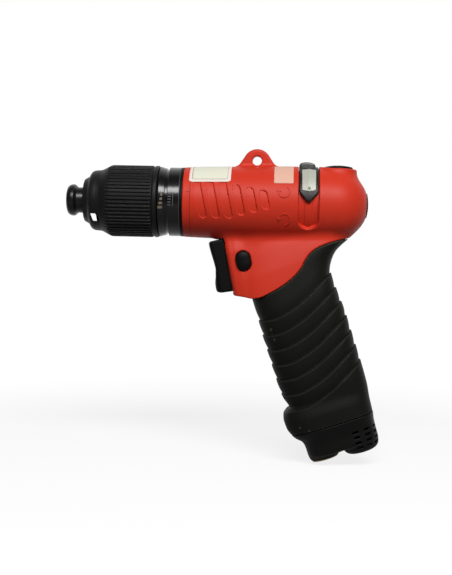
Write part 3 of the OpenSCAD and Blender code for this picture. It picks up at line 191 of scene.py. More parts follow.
step_rise = curve([(-33, 5.0), (-30, 3.5), (-26.5, 2.3), (-21, 2.0), (-12.6, 3.5), (-4.3, 6.4), (3.2, 10.1),
                   (9.6, 13.4), (15, 16.3), (17.5, 18), (22, 21)])
STEP_T0, STEP_LEAD, STEP_COUNT, STEP_D = 41.0, 8.55, 7, 1.15


def barrel(x, y, z):
    """Barrel with its round rear end."""
    rho = np.hypot(y, z)
    dome = np.hypot(rho, x - REAR_CX) - REAR_R
    d = np.where(x < REAR_CX, rho - barrel_r(x), dome)
    return smax(d, RED_X0 - x, 0.7)


def root_blend(y):
    """Blend between barrel and handle: wide in the middle, tight on the sides."""
    return 3.5 + 3 * ramp(9.5, 4.5, np.abs(y))


def angle_on(y, z):
    """Angle round the barrel in degrees: 0 on the near side, 90 on top."""
    return np.degrees(np.arctan2(z, -y))


def arc(degrees, r):
    """Length of an arc."""
    return math.radians(degrees) * r


def seam(p, t):
    """Signed distance below the edge between red shell and rubber."""
    step = 0.5
    lean = (seam_t(p + step) - seam_t(p - step)) / (2 * step)
    return (t - seam_t(p)) / np.sqrt(1 + lean * lean)


def grip_skin(x, y, z):
    """Outside of the rubber before its steps, running on into the barrel."""
    p, t = handle(x, z)
    skin = section(p, y, grip_front(t), rear_edge(t), half_width(t))
    return smin(skin, barrel(x, y, z), root_blend(y))


def core(p, y, t, grow):
    """Housing's core inside the rubber, grown by a gap."""
    front, rear, r = -14.5, 1.5, 12.0
    flat = np.hypot(p - np.clip(p, front, rear), y) - r - grow
    return np.maximum(flat, np.maximum(t - HANDLE_LEN + 0.2, -t - 4))


GROOVE_X, GROOVE_PITCH, GROOVE_HALF = 77.2, 7.05, 1.95
GROOVE_ENDS = [(-9, 15.5), (-9, 15.5), (-9, 15.5), (-7.3, 8.9), (-5.6, 7.4), (-3.9, 5.9)]


def grooves(x, y, z):
    """Distance to the slanting side grooves, and how far across each one the point lies."""
    best = np.full(x.shape, 50.0)
    across = np.zeros(x.shape)
    for k, (low, top) in enumerate(GROOVE_ENDS):
        a = x - GROOVE_X - GROOVE_PITCH * k + math.tan(math.radians(12.5)) * (z + 7)
        d = box_2d(a, z - (low + top) / 2, GROOVE_HALF, (top - low) / 2, 1.75)
        across = np.where(d < best, a / GROOVE_HALF, across)
        best = np.minimum(best, d)
    return np.where(np.abs(y) > 6, best, 50.0), across


def hanging_eye(x, y, z):
    """Thin tab with a round head and straight flanks."""
    u, v = np.abs(x - HANGER_X), z - HEAD_Z
    flank = u * math.cos(FLANK) + v * math.sin(FLANK)
    flat = np.where(np.arctan2(v, u) > FLANK, np.hypot(u, v), flank) - HEAD_R
    return np.maximum(smax(flat, np.abs(y) - 3.0, 1.6), 12 - z)


def shell(x, y, z):
    """Barrel with its grooves, hanging eye and top port boss."""
    skin = barrel(x, y, z)
    groove, across = grooves(x, y, z)
    depth = 0.42 + 0.26 * across
    skin = smax(skin, -np.maximum(groove, -(skin + depth)), 0.7)
    skin = smin(skin, hanging_eye(x, y, z), 2.2)
    boss = smax(np.hypot(x - PORT_X, y) - PORT_R, np.maximum(z - PORT_Z, 4 - z), 1.0)
    return smin(skin, boss, 3.0)


def trigger_block(x, y, z):
    """Red block under the barrel, with cheeks round the trigger."""
    p, t = handle(x, z)
    d, e = trigger_frame(x, z)
    block = section(p, y, block_front(t), rear_edge(t), half_width(t))
    block = np.maximum(block, -t - 12)
    width = 10.9 - 2.3 * ramp(5, 15, e) - 3.2 * ramp(5, 14, d)
    cheeks = smax(box_2d(d - 7.5, y, 7.5, width, 2.8), slab(e, -19, 17), 1.0)
    return smin(block, cheeks, 4.0)


def lever_cuts(x, y, z):
    """Track of the reverse lever, and the window for its stud."""
    rho, off = np.hypot(y, z), np.abs(x - LEVER_X)
    run = np.radians(angle_on(y, z)) * TRACK_ARC
    low, high = arc(TRACK_LOW, TRACK_ARC), arc(TRACK_HIGH, TRACK_ARC)
    side = np.where(run < low, np.hypot(x - LEVER_X, run - low), off) - TRACK_HALF
    floor = TRACK_R + 0.45 * ramp(2.4, 1.6, off)
    track = np.maximum(np.maximum(side, run - high), floor - rho)
    window = np.maximum(off - 3.0, np.abs(run - arc(WINDOW_AT, TRACK_ARC)) - 10.1)
    return track, np.maximum(window, 13 - rho)


def button_outline(d, e, r):
    """Distance to the cross button's oval."""
    return np.hypot(d - BUTTON_D, np.maximum(np.abs(e) - BUTTON_HALF, 0)) - r


def inner_bores(x, y, z):
    """Throttle, motor and port bores and the air passages of the housing."""
    p, t = handle(x, z)
    d, e = trigger_frame(x, z)
    rho, throttle, port = np.hypot(y, z), np.hypot(y, e), np.hypot(x - PORT_X, y)
    bores = [
        (throttle - 2.7, slab(d, 0, 16)),  # throttle stem
        (throttle - 6.6, slab(d, 13.4, 36.6)),  # throttle chamber
        (rho - 16.05, x - 141.3),  # motor
        (rho - 17.4, x - 71.4),  # front end
        (rho - 12, slab(x, 130, 155.9)),  # valve drum
        (rho - 5.1, 150 - x),  # rear plug
        (port - 6.6, 9 - z),  # top plug
    ]
    for foot, lean, top in ((INLET_P, 8.2, 3), (EXHAUST_P, 3.5, -9)):
        c, s = math.cos(math.radians(lean)), math.sin(math.radians(lean))
        off = (p - foot) * c - (104 - t) * s
        bores.append((np.hypot(off, y) - 4, top - t))
    return np.minimum.reduce([np.maximum(wall, ends) for wall, ends in bores])


def housing(x, y, z):
    """Red motor housing."""
    p, t = handle(x, z)
    d, e = trigger_frame(x, z)
    skin = smin(shell(x, y, z), trigger_block(x, y, z), root_blend(y))
    skin = smax(skin, seam(p, t) + SEAM_GAP, 0.7)
    # Lip under the rubber's edge, and the core inside the rubber
    lip = np.maximum(grip_skin(x, y, z) + 1.3, slab(seam(p, t), -3, 2))
    skin = np.minimum(skin, lip)
    skin = np.minimum(skin, np.maximum(core(p, y, t, 0), 12 - t))
    # Lever's track and window, and the eye's hole
    track, window = lever_cuts(x, y, z)
    skin = np.maximum(smax(skin, -track, 0.6), -window)
    eye = np.hypot(x - HANGER_X, z - HANGER_Z) - HANGER_HOLE
    skin = smax(skin, -eye, 0.7)
    # Trigger's pocket and cross button's hole
    pocket = np.maximum(box_2d(d + 1, y, 7.1, 7.8, 0.8), slab(e, -15.6, 14.8))
    skin = smax(skin, -pocket, 0.5)
    skin = smax(skin, -button_outline(d, e, BUTTON_HOLE_R), 0.7)
    skin = np.maximum(skin, -inner_bores(x, y, z))
    return np.maximum(skin, x - REAR_FLAT_X)


def grip_steps(p, t):
    """Depth of the rubber's overlapping steps."""
    u = (t + step_rise(p) - STEP_T0) / STEP_LEAD
    f = u - np.floor(u)
    depth = STEP_D * f ** 2.4 * (1 - ramp(0.9, 1.0, f))
    return np.where((u < -1) | (u >= STEP_COUNT - 1), 0, depth)


def sleeve(x, y, z):
    """Rubber sleeve of the grip."""
    p, t = handle(x, z)
    skin = grip_skin(x, y, z) + grip_steps(p, t)
    skin = smax(skin, SEAM_GAP - seam(p, t), 0.6)
    skin = smax(skin, t - HANDLE_LEN + 0.1, 0.6)
    return np.maximum(skin, -core(p, y, np.minimum(t, 100), 0.1))


base_front = curve([(103.2, -31.9), (105.5, -30.4), (108.7, -27.3), (111.3, -26.3), (114, -25.9), (121, -25.9)])
base_rear = curve([(103.2, 15.5), (107.9, 14.6), (112.6, 14.1), (119, 13.8)])
base_width = curve([(103.2, 16.9), (105.5, 15.6), (108.7, 14.0), (112.2, 13.0), (121, 12.6)])
BOSS_T0, INLET_R, INLET_T, EXHAUST_R, EXHAUST_T = 106, 8.6, 122.1, 10.3, 123.6
INLET_BORE_R, MUFFLER_R, MUFFLER_T = 7.55, 8.6, 120.7
SCREW_P, SCREW_Y, SCREW_R, SCREW_HEAD_R = -6.9, 8, 1.7, 3.2
SLIT_T0, SLIT_PITCH, SLIT_ROWS, SLIT_TURNS = 110.8, 3.0, 4, (96, 65, 34)


def base(x, y, z):
    """Base cap with the bosses of inlet and exhaust."""
    p, t = handle(x, z)
    skin = section(p, y, base_front(t), base_rear(t), base_width(t))
    skin = smax(skin, t - 119.0, 3.2)
    inlet_off, exhaust_off = np.hypot(p - INLET_P, y), np.hypot(p - EXHAUST_P, y)
    inlet = smax(inlet_off - INLET_R, t - INLET_T, 4.0)
    exhaust = smax(exhaust_off - EXHAUST_R, t - EXHAUST_T, 5.5)
    for boss in (inlet, exhaust):
        skin = smin(skin, np.maximum(boss, BOSS_T0 - t), 1.4)
    skin = smax(skin, BASE_T + 0.05 - t, 0.8)
    # Inlet bore, muffler chamber and screw recesses
    bore = np.maximum(inlet_off - INLET_BORE_R, 100 - t)
    bore = np.minimum(bore, np.maximum(exhaust_off - MUFFLER_R, t - MUFFLER_T))
    for side in (-1, 1):
        screw = np.hypot(p - SCREW_P, y - side * SCREW_Y)
        recess = np.maximum(screw - SCREW_HEAD_R, BASE_T + 3 - t)
        bore = np.minimum(bore, np.minimum(screw - SCREW_R, recess))
    skin = smax(skin, -bore, 0.3)
    return slits(skin, p, y, t)


def slits(skin, p, y, t):
    """Exhaust slits on both sides of the rear boss, cut out of the base."""
    for side in (-1, 1):
        for degrees in SLIT_TURNS:
            c, s = math.cos(math.radians(degrees)), side * math.sin(math.radians(degrees))
            out = (p - EXHAUST_P) * c + y * s
            across = y * c - (p - EXHAUST_P) * s
            for row in range(SLIT_ROWS):
                slit = box_2d(across, t - SLIT_T0 - SLIT_PITCH * row, 1.7, 0.65, 0.6)
                skin = smax(skin, -np.maximum(slit, 7.6 - out), 0.35)
    return skin


TRIGGER_SIDE = [(0.4, 14.5), (-7.4, 14.3), (-8.5, 13.7), (-8.7, 11.8), (-8.4, 8), (-7.9, 3.5), (-7.6, -1),
                (-8.6, -5.6), (-10.2, -9.4), (-10.8, -11.9), (-10.0, -13.9), (-7.0, -14.8), (0.4, -15.3)]


def trigger(x, y, z):
    """Trigger blade with its pin hole."""
    d, e = trigger_frame(x, z)
    side = polygon_2d(d, e, TRIGGER_SIDE)
    # Finger hollow across the front, rounder at its edges
    plan = box_2d(d - 5.2, y, 15.0, 7.5, 4.2)
    shape = smax(smax(side, plan, 1.6), np.abs(y) - 7.5, 0.8)
    shape = np.maximum(shape, d - 0.4)
    pin = np.maximum(np.hypot(d + 1.4, e) - 0.82, np.abs(y) - 6.8)
    bore = np.minimum(np.maximum(np.hypot(y, e) - 2.22, -3 - d), pin)
    return np.maximum(shape, -bore)


cap_front = curve([(7, 12.3), (9, 12.35), (11, 12.5), (12.5, 12.75), (14, 13.15), (15.3, 13.8), (16.2, 14.7),
                   (16.6, 15.6), (16.9, 17.2)])


RIB_COUNT, RIB_H = 60, 0.8
SLOT_X, SLOT_Z = 14.9, -9.4


def cap_skin(x, y, z):
    """Outside of the clutch cap: dome, taper, knurl and rear band."""
    rho = np.hypot(y, z)
    dome = smax(rho - 16.85, (cap_front(rho) - x) * 0.75, 0.4)
    taper = np.maximum(rho - 19.15, np.maximum(((20.4 - x) + (rho - 16.8) * 2.1) * 0.43, 19.4 - x))
    rib = np.cos(RIB_COUNT * np.arctan2(z, y))
    ribs = rho - 19.1 - RIB_H * ramp(-0.55, 0.75, rib)
    ribs = smax(ribs, 20.9 - x + (rho - 17.6) * 1.9, 0.8)
    ribs = smax(ribs, x - KNURL_X1 + 0.2, 0.8)
    band = smax(rho - 19.9, KNURL_X1 + 0.4 - x, 1.1)
    skin = smin(smin(smin(dome, taper, 1.5), ribs, 0.35), band, 0.4)
    return smax(skin, x - CAP_X1, 1.2)


def cap_hollow(x, rho):
    """Inside of the clutch cap: collar's hole, dome, spring seat's room and rear bore."""
    dome = np.maximum(rho - 14.6, np.maximum(cap_front(rho) + 1.5 - x, x - 26))
    seat = np.maximum(rho - 17.65, slab(x, 25.7, 33.6))
    rear = np.maximum(rho - 16.7, 32.6 - x)
    return np.minimum.reduce([rho - 7.3, dome, seat, rear])


def knurled_cap(x, y, z):
    """Clutch cap with a slanting slot through its dome, below the collar."""
    skin = smax(cap_skin(x, y, z), -cap_hollow(x, np.hypot(y, z)), 0.5)
    up = z - SLOT_Z
    slot = box_2d(x + 0.195 * y + 0.45 * up - SLOT_X, z - 0.045 * y - SLOT_Z, 1.75, 2.05, 0.5)
    return smax(skin, -slot, 0.5)


def lever_plan(x, run):
    """Flat outline of the lever's band: straight sides and a pointed lower end."""
    low = arc(LEVER_LOW, LEVER_ARC)
    side = np.abs(x - LEVER_X) - LEVER_HALF
    tip = (low - run + np.maximum(np.abs(x - LEVER_X) - 0.9, 0) * 1.15) * 0.66
    return smax(side, tip, 1.0)


def lever(x, y, z):
    """Lever's band with its lower rim, and the stud that turns the valve drum."""
    rho, run = np.hypot(y, z), np.radians(angle_on(y, z)) * LEVER_ARC
    run = np.where(run < -40, run + 2 * math.pi * LEVER_ARC, run)
    plan = lever_plan(x, run)
    past_end = run - arc(LEVER_HIGH, LEVER_ARC)
    band = np.maximum(smax(plan, slab(rho, 18.85, 20.75), 0.7), past_end)
    rim = smax(smax(plan, slab(rho, 18.4, 20.2), 0.5), -(plan + 1.6), 0.3)
    shape = np.minimum(band, np.maximum(rim, past_end))
    c, s = math.cos(math.radians(STUD_AT)), math.sin(math.radians(STUD_AT))
    along, across = z * s - y * c, z * c + y * s
    stud = np.maximum(np.hypot(x - LEVER_X, across) - 2.6, slab(along, 14, 19.2))
    return np.minimum(shape, stud)


def lever_knob(x, y, z):
    """Thumb knob on top of the lever's band."""
    top = 23.0 - 0.052 * (x - LEVER_X + 1.2) ** 2
    plan = box_2d(x - LEVER_X + 0.8, y + 0.5, 4.5, 5.5, 1.6)
    return smax(smax(plan, (z - top) * 0.9, 1.2), 18.9 - z, 0.4)


def lever_face(x, y, z):
    """Bright face plate on the lever's near side, with a ridge down its middle."""
    rho, run = np.hypot(y, z), np.radians(angle_on(y, z)) * LEVER_ARC
    off = np.abs(x - LEVER_X)
    low, high = arc(16, LEVER_ARC), arc(63, LEVER_ARC)
    plan = smax(off - 4.15 + 0.02 * (high - run), np.maximum(run - high, low - run + 0.25 * off), 0.5)
    top = 21.35 - 0.16 * off
    shape = smax(plan, rho - top, 0.35)
    shape = np.maximum(shape, 20.3 - rho)
    dimple = np.hypot(np.hypot(x - LEVER_X, run - low - 1.6), rho - 21.6) - 0.95
    return smax(shape, -dimple, 0.2)


def lock_button(x, y, z):
    """Oval cross button, slotted for the throttle stem."""
    d, e = trigger_frame(x, z)
    flat = button_outline(d, e, BUTTON_R)
    crown = 0.05 * (flat + BUTTON_R) ** 2
    shape = smax(flat, np.maximum(-y - 13.9, y - 16.4) + crown, 0.9)
    # Two sealing rings close the gap to the hole
    rings = np.maximum(flat - 0.12, np.abs(np.abs(y) - 9) - 0.8)
    shape = np.minimum(shape, rings)
    slot = np.hypot(e, y - np.clip(y, 0, 2.5)) - 2.6
    return np.maximum(shape, -slot)


# surface from a distance field
CORNERS = [(i, j, k) for i in (0, 1) for j in (0, 1) for k in (0, 1)]
EDGES = [(a, b) for a in CORNERS for b in CORNERS
         if sum(b) - sum(a) == 1 and all(q <= r for q, r in zip(a, b))]

# Grid points along a block, blocks worked out together, and how near in half blocks a block is worked out
BLOCK, BATCH, NEAR = 8, 400, 2.6
NEWTON_STEPS, NEWTON_REACH = 3, 0.4


def sample(field, low, counts, step):
    """Field values on a grid, worked out only in the blocks that hold the surface."""
    values = np.full(counts, 1.0, np.float32)
    half = BLOCK * step / 2
    blocks = [np.arange(0, n, BLOCK) for n in counts]
    centres = np.meshgrid(*[low[i] + blocks[i] * step + half for i in range(3)], indexing="ij")
    coarse = field(*centres)
    near = np.abs(coarse) < half * NEAR
    for i, j, k in np.argwhere(~near & (coarse < 0)):
        values[i * BLOCK:i * BLOCK + BLOCK, j * BLOCK:j * BLOCK + BLOCK, k * BLOCK:k * BLOCK + BLOCK] = -1.0
    offset = np.arange(BLOCK)
    active = np.argwhere(near)
    for start in range(0, len(active), BATCH):
        part = active[start:start + BATCH] * BLOCK
        gx = low[0] + (part[:, 0, None, None, None] + offset[None, :, None, None]) * step
        gy = low[1] + (part[:, 1, None, None, None] + offset[None, None, :, None]) * step
        gz = low[2] + (part[:, 2, None, None, None] + offset[None, None, None, :]) * step
        gx, gy, gz = np.broadcast_arrays(gx, gy, gz)
        got = field(gx, gy, gz)
        for (i, j, k), cell in zip(part, got):
            view = values[i:i + BLOCK, j:j + BLOCK, k:k + BLOCK]
            view[...] = cell[:view.shape[0], :view.shape[1], :view.shape[2]]
    return values


def gradient(field, points, h=0.04):
    """Slope of a field at the points."""
    out = np.empty_like(points)
    for axis in range(3):
        shift = np.zeros(3)
        shift[axis] = h
        out[:, axis] = (field(*(points + shift).T) - field(*(points - shift).T)) / (2 * h)
    return out


def cell_points(values, where):
    """Mean of the places where the surface cuts the edges of each cell, in grid steps."""
    place = np.zeros((len(where), 3))
    hits = np.zeros(len(where))
    for a, b in EDGES:
        va = values[tuple((where + a).T)].astype(float)
        vb = values[tuple((where + b).T)].astype(float)
        cut = (va < 0) != (vb < 0)
        s = np.where(cut, va / np.where(cut, va - vb, 1), 0)
        place += (np.array(a) + s[:, None] * (np.array(b) - np.array(a))) * cut[:, None]
        hits += cut
    return where + place / hits[:, None]


def cell_quads(inside, index):
    """Quads between the four cells round each grid edge that the surface cuts."""
    cells = index.shape
    quads = []
    for axis in range(3):
        u, w = (axis + 1) % 3, (axis + 2) % 3
        here = [slice(None)] * 3
        here[axis] = slice(0, -1)
        there = [slice(None)] * 3
        there[axis] = slice(1, None)
        first = inside[tuple(here)]
        at = np.argwhere(first != inside[tuple(there)])
        at = at[(at[:, u] > 0) & (at[:, w] > 0) & (at[:, u] < cells[u]) & (at[:, w] < cells[w])]
        eu, ew = np.eye(3, dtype=int)[u], np.eye(3, dtype=int)[w]
        ring = np.stack([index[tuple(q.T)] for q in (at, at - eu, at - eu - ew, at - ew)], 1)
        turn = first[tuple(at.T)]
        quads.append(np.where(turn[:, None], ring, ring[:, ::-1]))
    return np.concatenate(quads)


def settle(field, points, reach):
    """Points moved onto the surface by Newton steps of limited reach."""
    for _ in range(NEWTON_STEPS):
        slope = gradient(field, points)
        size = np.maximum((slope * slope).sum(1), 0.1)
        move = np.clip(field(*points.T) / size, -reach, reach)
        points = points - move[:, None] * slope
    return points


def surface(field, low, high, step):
    """Points, quads and normals of the surface where the field is zero."""
    low = np.array(low, float)
    counts = tuple(int((h - q) / step) + 2 for q, h in zip(low, high))
    values = sample(field, low, counts, step)
    inside = values < 0
    cells = tuple(n - 1 for n in counts)
    total = np.zeros(cells, np.int8)
    for i, j, k in CORNERS:
        total += inside[i:i + cells[0], j:j + cells[1], k:k + cells[2]]
    mixed = (total > 0) & (total < len(CORNERS))
    where = np.argwhere(mixed)
    index = np.full(cells, -1, np.int64)
    index[mixed] = np.arange(len(where))
    points = settle(field, low + cell_points(values, where) * step, NEWTON_REACH * step)
    normals = gradient(field, points)
    normals /= np.maximum(np.linalg.norm(normals, axis=1), 1e-9)[:, None]
    return points, cell_quads(inside, index), normals


def piece(name, points, faces, body, material, replaces=(), normals=None):
    """Mesh object from points in millimetres, riding on a body; with a tuple (body, body, start, end) it only
    has its place baked in.
    """
    mesh = bpy.data.meshes.new(name)
    mesh.from_pydata((np.asarray(points) * MM).tolist(), [], [list(map(int, f)) for f in faces])
    mesh.polygons.foreach_set("use_smooth", [True] * len(mesh.polygons))
    if normals is not None:
        mesh.normals_split_custom_set_from_vertices(normals.tolist())
    mesh.materials.append(material)
    obj = bpy.data.objects.new(name, mesh)
    bpy.context.scene.collection.objects.link(obj)
    if isinstance(body, tuple):
        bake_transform(obj)
    else:
        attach(obj, body)
    if replaces:
        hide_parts(*replaces)
    return obj


def moulded(name, field, low, high, step, body, material, replaces=()):
    """Piece with the surface of a field, found on a grid between two corners."""
    points, quads, normals = surface(field, low, high, step)
    return piece(name, points, quads, body, material, replaces, normals)


def turned(name, profile, body, material, replaces=(), count=128, centre=(0, 0), axis="x"):
    """Closed ring or disc turned round an axis from (along, radius) points."""
    def spot(along, u, v):
        u, v = centre[0] + u, centre[1] + v
        return (along, u, v) if axis == "x" else (u, v, along)

    points, rings = [], []
    for along, r in profile:
        first = len(points)
        if r < 1e-6:
            points.append(spot(along, 0, 0))
        else:
            for a in np.linspace(0, 2 * math.pi, count, endpoint=False):
                points.append(spot(along, r * math.cos(a), r * math.sin(a)))
        rings.append(list(range(first, len(points))))
    pairs = list(zip(rings, rings[1:]))
    if len(rings[0]) > 1 and len(rings[-1]) > 1:
        pairs.append((rings[-1], rings[0]))
    faces = []
    for a, b in pairs:
        for i in range(count):
            j = (i + 1) % count
            if len(a) == 1:
                faces.append((a[0], b[j], b[i]))
            elif len(b) == 1:
                faces.append((a[i], a[j], b[0]))
            else:
                faces.append((a[i], a[j], b[j], b[i]))
    return piece(name, points, faces, body, material, replaces)


def rounded(corners, r, steps=5):
    """Closed turning profile of (along, radius) corners, each one rounded."""
    out = []
    for i, corner in enumerate(corners):
        q = np.array(corner, float)
        a = np.array(corners[i - 1], float) - q
        b = np.array(corners[(i + 1) % len(corners)], float) - q
        la, lb = np.linalg.norm(a), np.linalg.norm(b)
        cut = min(r, 0.45 * la, 0.45 * lb)
        start, stop = q + a / la * cut, q + b / lb * cut
        for k in range(steps + 1):
            s = k / steps
            out.append(tuple((1 - s) ** 2 * start + 2 * s * (1 - s) * q + s * s * stop))
    return out


# shader nodes
def combine(tree, operation, a, b):
    """Output of a Math node."""
    node = tree.nodes.new("ShaderNodeMath")
    node.operation = operation
    tree.links.new(a, node.inputs[0])
    tree.links.new(b, node.inputs[1])
    return node.outputs[0]


def either(tree, a, b):
    """The larger of two ray flags."""
    return combine(tree, "MAXIMUM", a, b)


def times(tree, a, b):
    """Product of two values."""
    return combine(tree, "MULTIPLY", a, b)


def remap(tree, value, from_min, from_max, to_min, to_max):
    """Value mapped from one range to another."""
    node = tree.nodes.new("ShaderNodeMapRange")
    ends = {"From Min": from_min, "From Max": from_max, "To Min": to_min, "To Max": to_max}
    for name, number in ends.items():
        node.inputs[name].default_value = number
    tree.links.new(value, node.inputs["Value"])
    return node.outputs["Result"]


def noise(tree, vector, scale, detail):
    """Value of a noise texture."""
    node = tree.nodes.new("ShaderNodeTexNoise")
    node.inputs["Scale"].default_value = scale
    node.inputs["Detail"].default_value = detail
    tree.links.new(vector, node.inputs["Vector"])
    return node.outputs["Fac"]


def color_mix(tree, factor):
    """Node that mixes two colours."""
    node = tree.nodes.new("ShaderNodeMix")
    node.data_type = "RGBA"
    tree.links.new(factor, node.inputs["Factor"])
    return node


# materials
# Pointiness over which sharp edges take on the painted highlight
HIGHLIGHT_FROM, HIGHLIGHT_TO = 0.515, 0.57
RELIEF = 0.0004


def painted_edge_highlight(tree, tone, amount, color):
    """Painted highlight: colour that turns to another one on sharp edges, standing in for light catching them.
    """
    shape = tree.nodes.new("ShaderNodeNewGeometry")
    highlight_amount = remap(tree, shape.outputs["Pointiness"], HIGHLIGHT_FROM, HIGHLIGHT_TO, 0.0, amount)
    highlight_mix = color_mix(tree, highlight_amount)
    highlight_mix.inputs["B"].default_value = (*color, 1)
    tree.links.new(tone, highlight_mix.inputs["A"])
    return highlight_mix.outputs["Result"]


def material(name, color, rough, metal=0.0, spread=0.08, blotch=90.0, grain=1500.0, bump=0.06,
             stretch=(1, 1, 1), rough_spread=0.08, edge=0.0, edge_highlight_color=(0.5, 0.5, 0.5), sheen=0.0, spec=0.5):
    """Procedural surface: soft colour drift, fine grain in bump and roughness, and a painted highlight on sharp
    edges.
    """
    m = bpy.data.materials.new(name)
    m.use_nodes = True
    tree = m.node_tree
    link = tree.links.new
    shader = tree.nodes["Principled BSDF"]
    shader.inputs["Metallic"].default_value = metal
    shader.inputs["Specular IOR Level"].default_value = spec
    shader.inputs["Sheen Weight"].default_value = sheen
    place = tree.nodes.new("ShaderNodeTexCoord")
    mapping = tree.nodes.new("ShaderNodeMapping")
    mapping.inputs["Scale"].default_value = stretch
    link(place.outputs["Object"], mapping.inputs["Vector"])
    drift = noise(tree, mapping.outputs["Vector"], blotch, 4.0)
    fine = noise(tree, mapping.outputs["Vector"], grain, 3.0)
    tint = color_mix(tree, drift)
    tint.inputs["A"].default_value = tuple(c * (1 - spread) for c in color) + (1,)
    tint.inputs["B"].default_value = tuple(min(1, c * (1 + spread)) for c in color) + (1,)
    tone = tint.outputs["Result"]
    if edge > 0:
        tone = painted_edge_highlight(tree, tone, edge, edge_highlight_color)
    link(tone, shader.inputs["Base Color"])
    gloss = remap(tree, fine, 0.0, 1.0, max(0.02, rough - rough_spread), min(1.0, rough + rough_spread))
    link(gloss, shader.inputs["Roughness"])
    relief = tree.nodes.new("ShaderNodeBump")
    relief.inputs["Strength"].default_value = bump
    relief.inputs["Distance"].default_value = RELIEF
    link(fine, relief.inputs["Height"])
    link(relief.outputs["Normal"], shader.inputs["Normal"])
    return m


red = material("red_nylon", (0.65, 0.036, 0.015), 0.46, spread=0.04, blotch=40,
               grain=2600, bump=0.10, spec=0.22)
# Darker red for painted shade along the front moulding line and at the small notch
painted_shade_red = material("painted_shade_red", (0.33, 0.016, 0.008), 0.6, spread=0.05, grain=2600, bump=0.05, spec=0.1)
# The rubber's sharp step edges get a painted highlight, a lighter colour where light would catch them
rubber = material("grip_rubber", (0.005, 0.0054, 0.004), 0.58, spread=0.15, grain=2200, bump=0.2,
                  rough_spread=0.1, spec=0.2, edge=0.9, edge_highlight_color=(0.045, 0.047, 0.038))
plastic = material("black_plastic", (0.0032, 0.0033, 0.0031), 0.48, spread=0.12,
                   grain=2600, bump=0.14, spec=0.14)
base_plastic = material("base_plastic", (0.005, 0.0052, 0.0047), 0.46, spread=0.12,
                        grain=2400, bump=0.16, spec=0.2)
cap_plastic = material("cap_plastic", (0.0085, 0.009, 0.0083), 0.46, spread=0.12,
                       grain=2400, bump=0.18, spec=0.22)
black_steel = material("black_steel", (0.006, 0.006, 0.0065), 0.2, spread=0.2, grain=900, bump=0.03,
                       stretch=(6, 1, 1), rough_spread=0.05, spec=0.6)
collar_black = material("collar_black", (0.006, 0.006, 0.0065), 0.3, spread=0.15, grain=1200, bump=0.05,
                        stretch=(5, 1, 1), spec=0.5)
steel = material("plain_steel", (0.50, 0.51, 0.52), 0.32, metal=1.0, grain=1400, bump=0.05, stretch=(8, 1, 1))
wire = material("spring_steel", (0.42, 0.43, 0.44), 0.3, metal=1.0, grain=2000, bump=0.04)
bright = material("bearing_steel", (0.70, 0.71, 0.72), 0.14, metal=1.0, grain=2500, bump=0.02)
lever_dark = material("lever_dark", (0.10, 0.10, 0.095), 0.4, metal=0.4, grain=1600, bump=0.08)
lever_black = material("lever_black", (0.012, 0.012, 0.012), 0.42, grain=1600, bump=0.08, spec=0.3)
lever_bright = material("lever_bright", (0.52, 0.53, 0.45), 0.5, metal=0.2, grain=1500, bump=0.1,
                        stretch=(1, 1, 5), spec=0.3)
brass = material("valve_brass", (0.62, 0.46, 0.2), 0.3, metal=1.0, grain=1600, bump=0.05)
laminate = material("vane_laminate", (0.2, 0.14, 0.07), 0.6, grain=1500, bump=0.15, stretch=(1, 6, 1))
seal = material("seal_rubber", (0.02, 0.02, 0.02), 0.5, grain=2000, bump=0.05)
felt = material("felt", (0.05, 0.048, 0.042), 0.95, grain=3000, bump=0.6, sheen=0.3)
edge_white = material("label_white", (0.90, 0.78, 0.70), 0.5, spread=0.03, blotch=120,
                      grain=3500, bump=0.05, spec=0.2)
cream = material("label_cream", (0.80, 0.80, 0.66), 0.5, spread=0.03, blotch=150,
                 grain=3500, bump=0.05, spec=0.2)
line_tan = material("label_line", (0.40, 0.37, 0.28), 0.6, spread=0.1, grain=3000, bump=0.03, spec=0.2)
pink = material("label_pink", (0.80, 0.47, 0.36), 0.5, spread=0.04, blotch=150, grain=3500, bump=0.05, spec=0.2)
gold = material("scale_gold", (0.17, 0.14, 0.085), 0.5, grain=2500, bump=0.05)
scale_grey = material("scale_grey", (0.085, 0.085, 0.08), 0.5, grain=2500, bump=0.05)

BY_SLOT = {"red_shell": red, "grip_rubber": rubber, "black_plastic": plastic, "black_steel": black_steel,
           "black_collar": collar_black, "plain_steel": steel, "spring_steel": wire, "bearing_steel": bright,
           "label_film": cream, "lever_metal": lever_dark, "valve_brass": brass, "vane_laminate": laminate,
           "seal_rubber": seal, "felt": felt}
for part in frame["record"]["subparts"]:
    mesh = nodes[part["node"]].data
    mesh.materials.clear()
    mesh.materials.append(BY_SLOT[part["material_slot"]])
nodes["trigger_pin"].data.materials[0] = plastic

# camera, floor and light
PHOTO_W = 452
MM_PER_PIXEL = 0.559
SENSOR = 36.0
TARGET = Vector((90.0, 0, -47.14)) * MM
EYE = Vector((120.0, -560.0, -33.9)) * MM
ROLL = math.radians(1.35)
FLOOR_BASE, FLOOR_GLOW, FLOOR_HALF, FLOOR_DROP = 0.22, 0.82, 4, 0.0008
AMBIENT, FRONT_MIRROR = 0.10, 0.05


def add_camera():
    """Camera at the photo's angle, rolled as the photo is."""
    data = bpy.data.cameras.new("camera")
    camera = bpy.data.objects.new("camera", data)
    bpy.context.scene.collection.objects.link(camera)
    forward = (TARGET - EYE).normalized()
    level = forward.cross(Vector((0, 0, 1))).normalized()
    upright = level.cross(forward)
    right = level * math.cos(ROLL) + upright * math.sin(ROLL)
    up = upright * math.cos(ROLL) - level * math.sin(ROLL)
    rows = [(right[i], up[i], -forward[i], EYE[i]) for i in range(3)]
    camera.matrix_world = Matrix(rows + [(0, 0, 0, 1)])
    data.sensor_fit = "HORIZONTAL"
    data.sensor_width = SENSOR
    data.lens = SENSOR * (TARGET - EYE).length / (PHOTO_W * MM_PER_PIXEL * MM)
    data.clip_start = 0.01
    bpy.context.scene.camera = camera


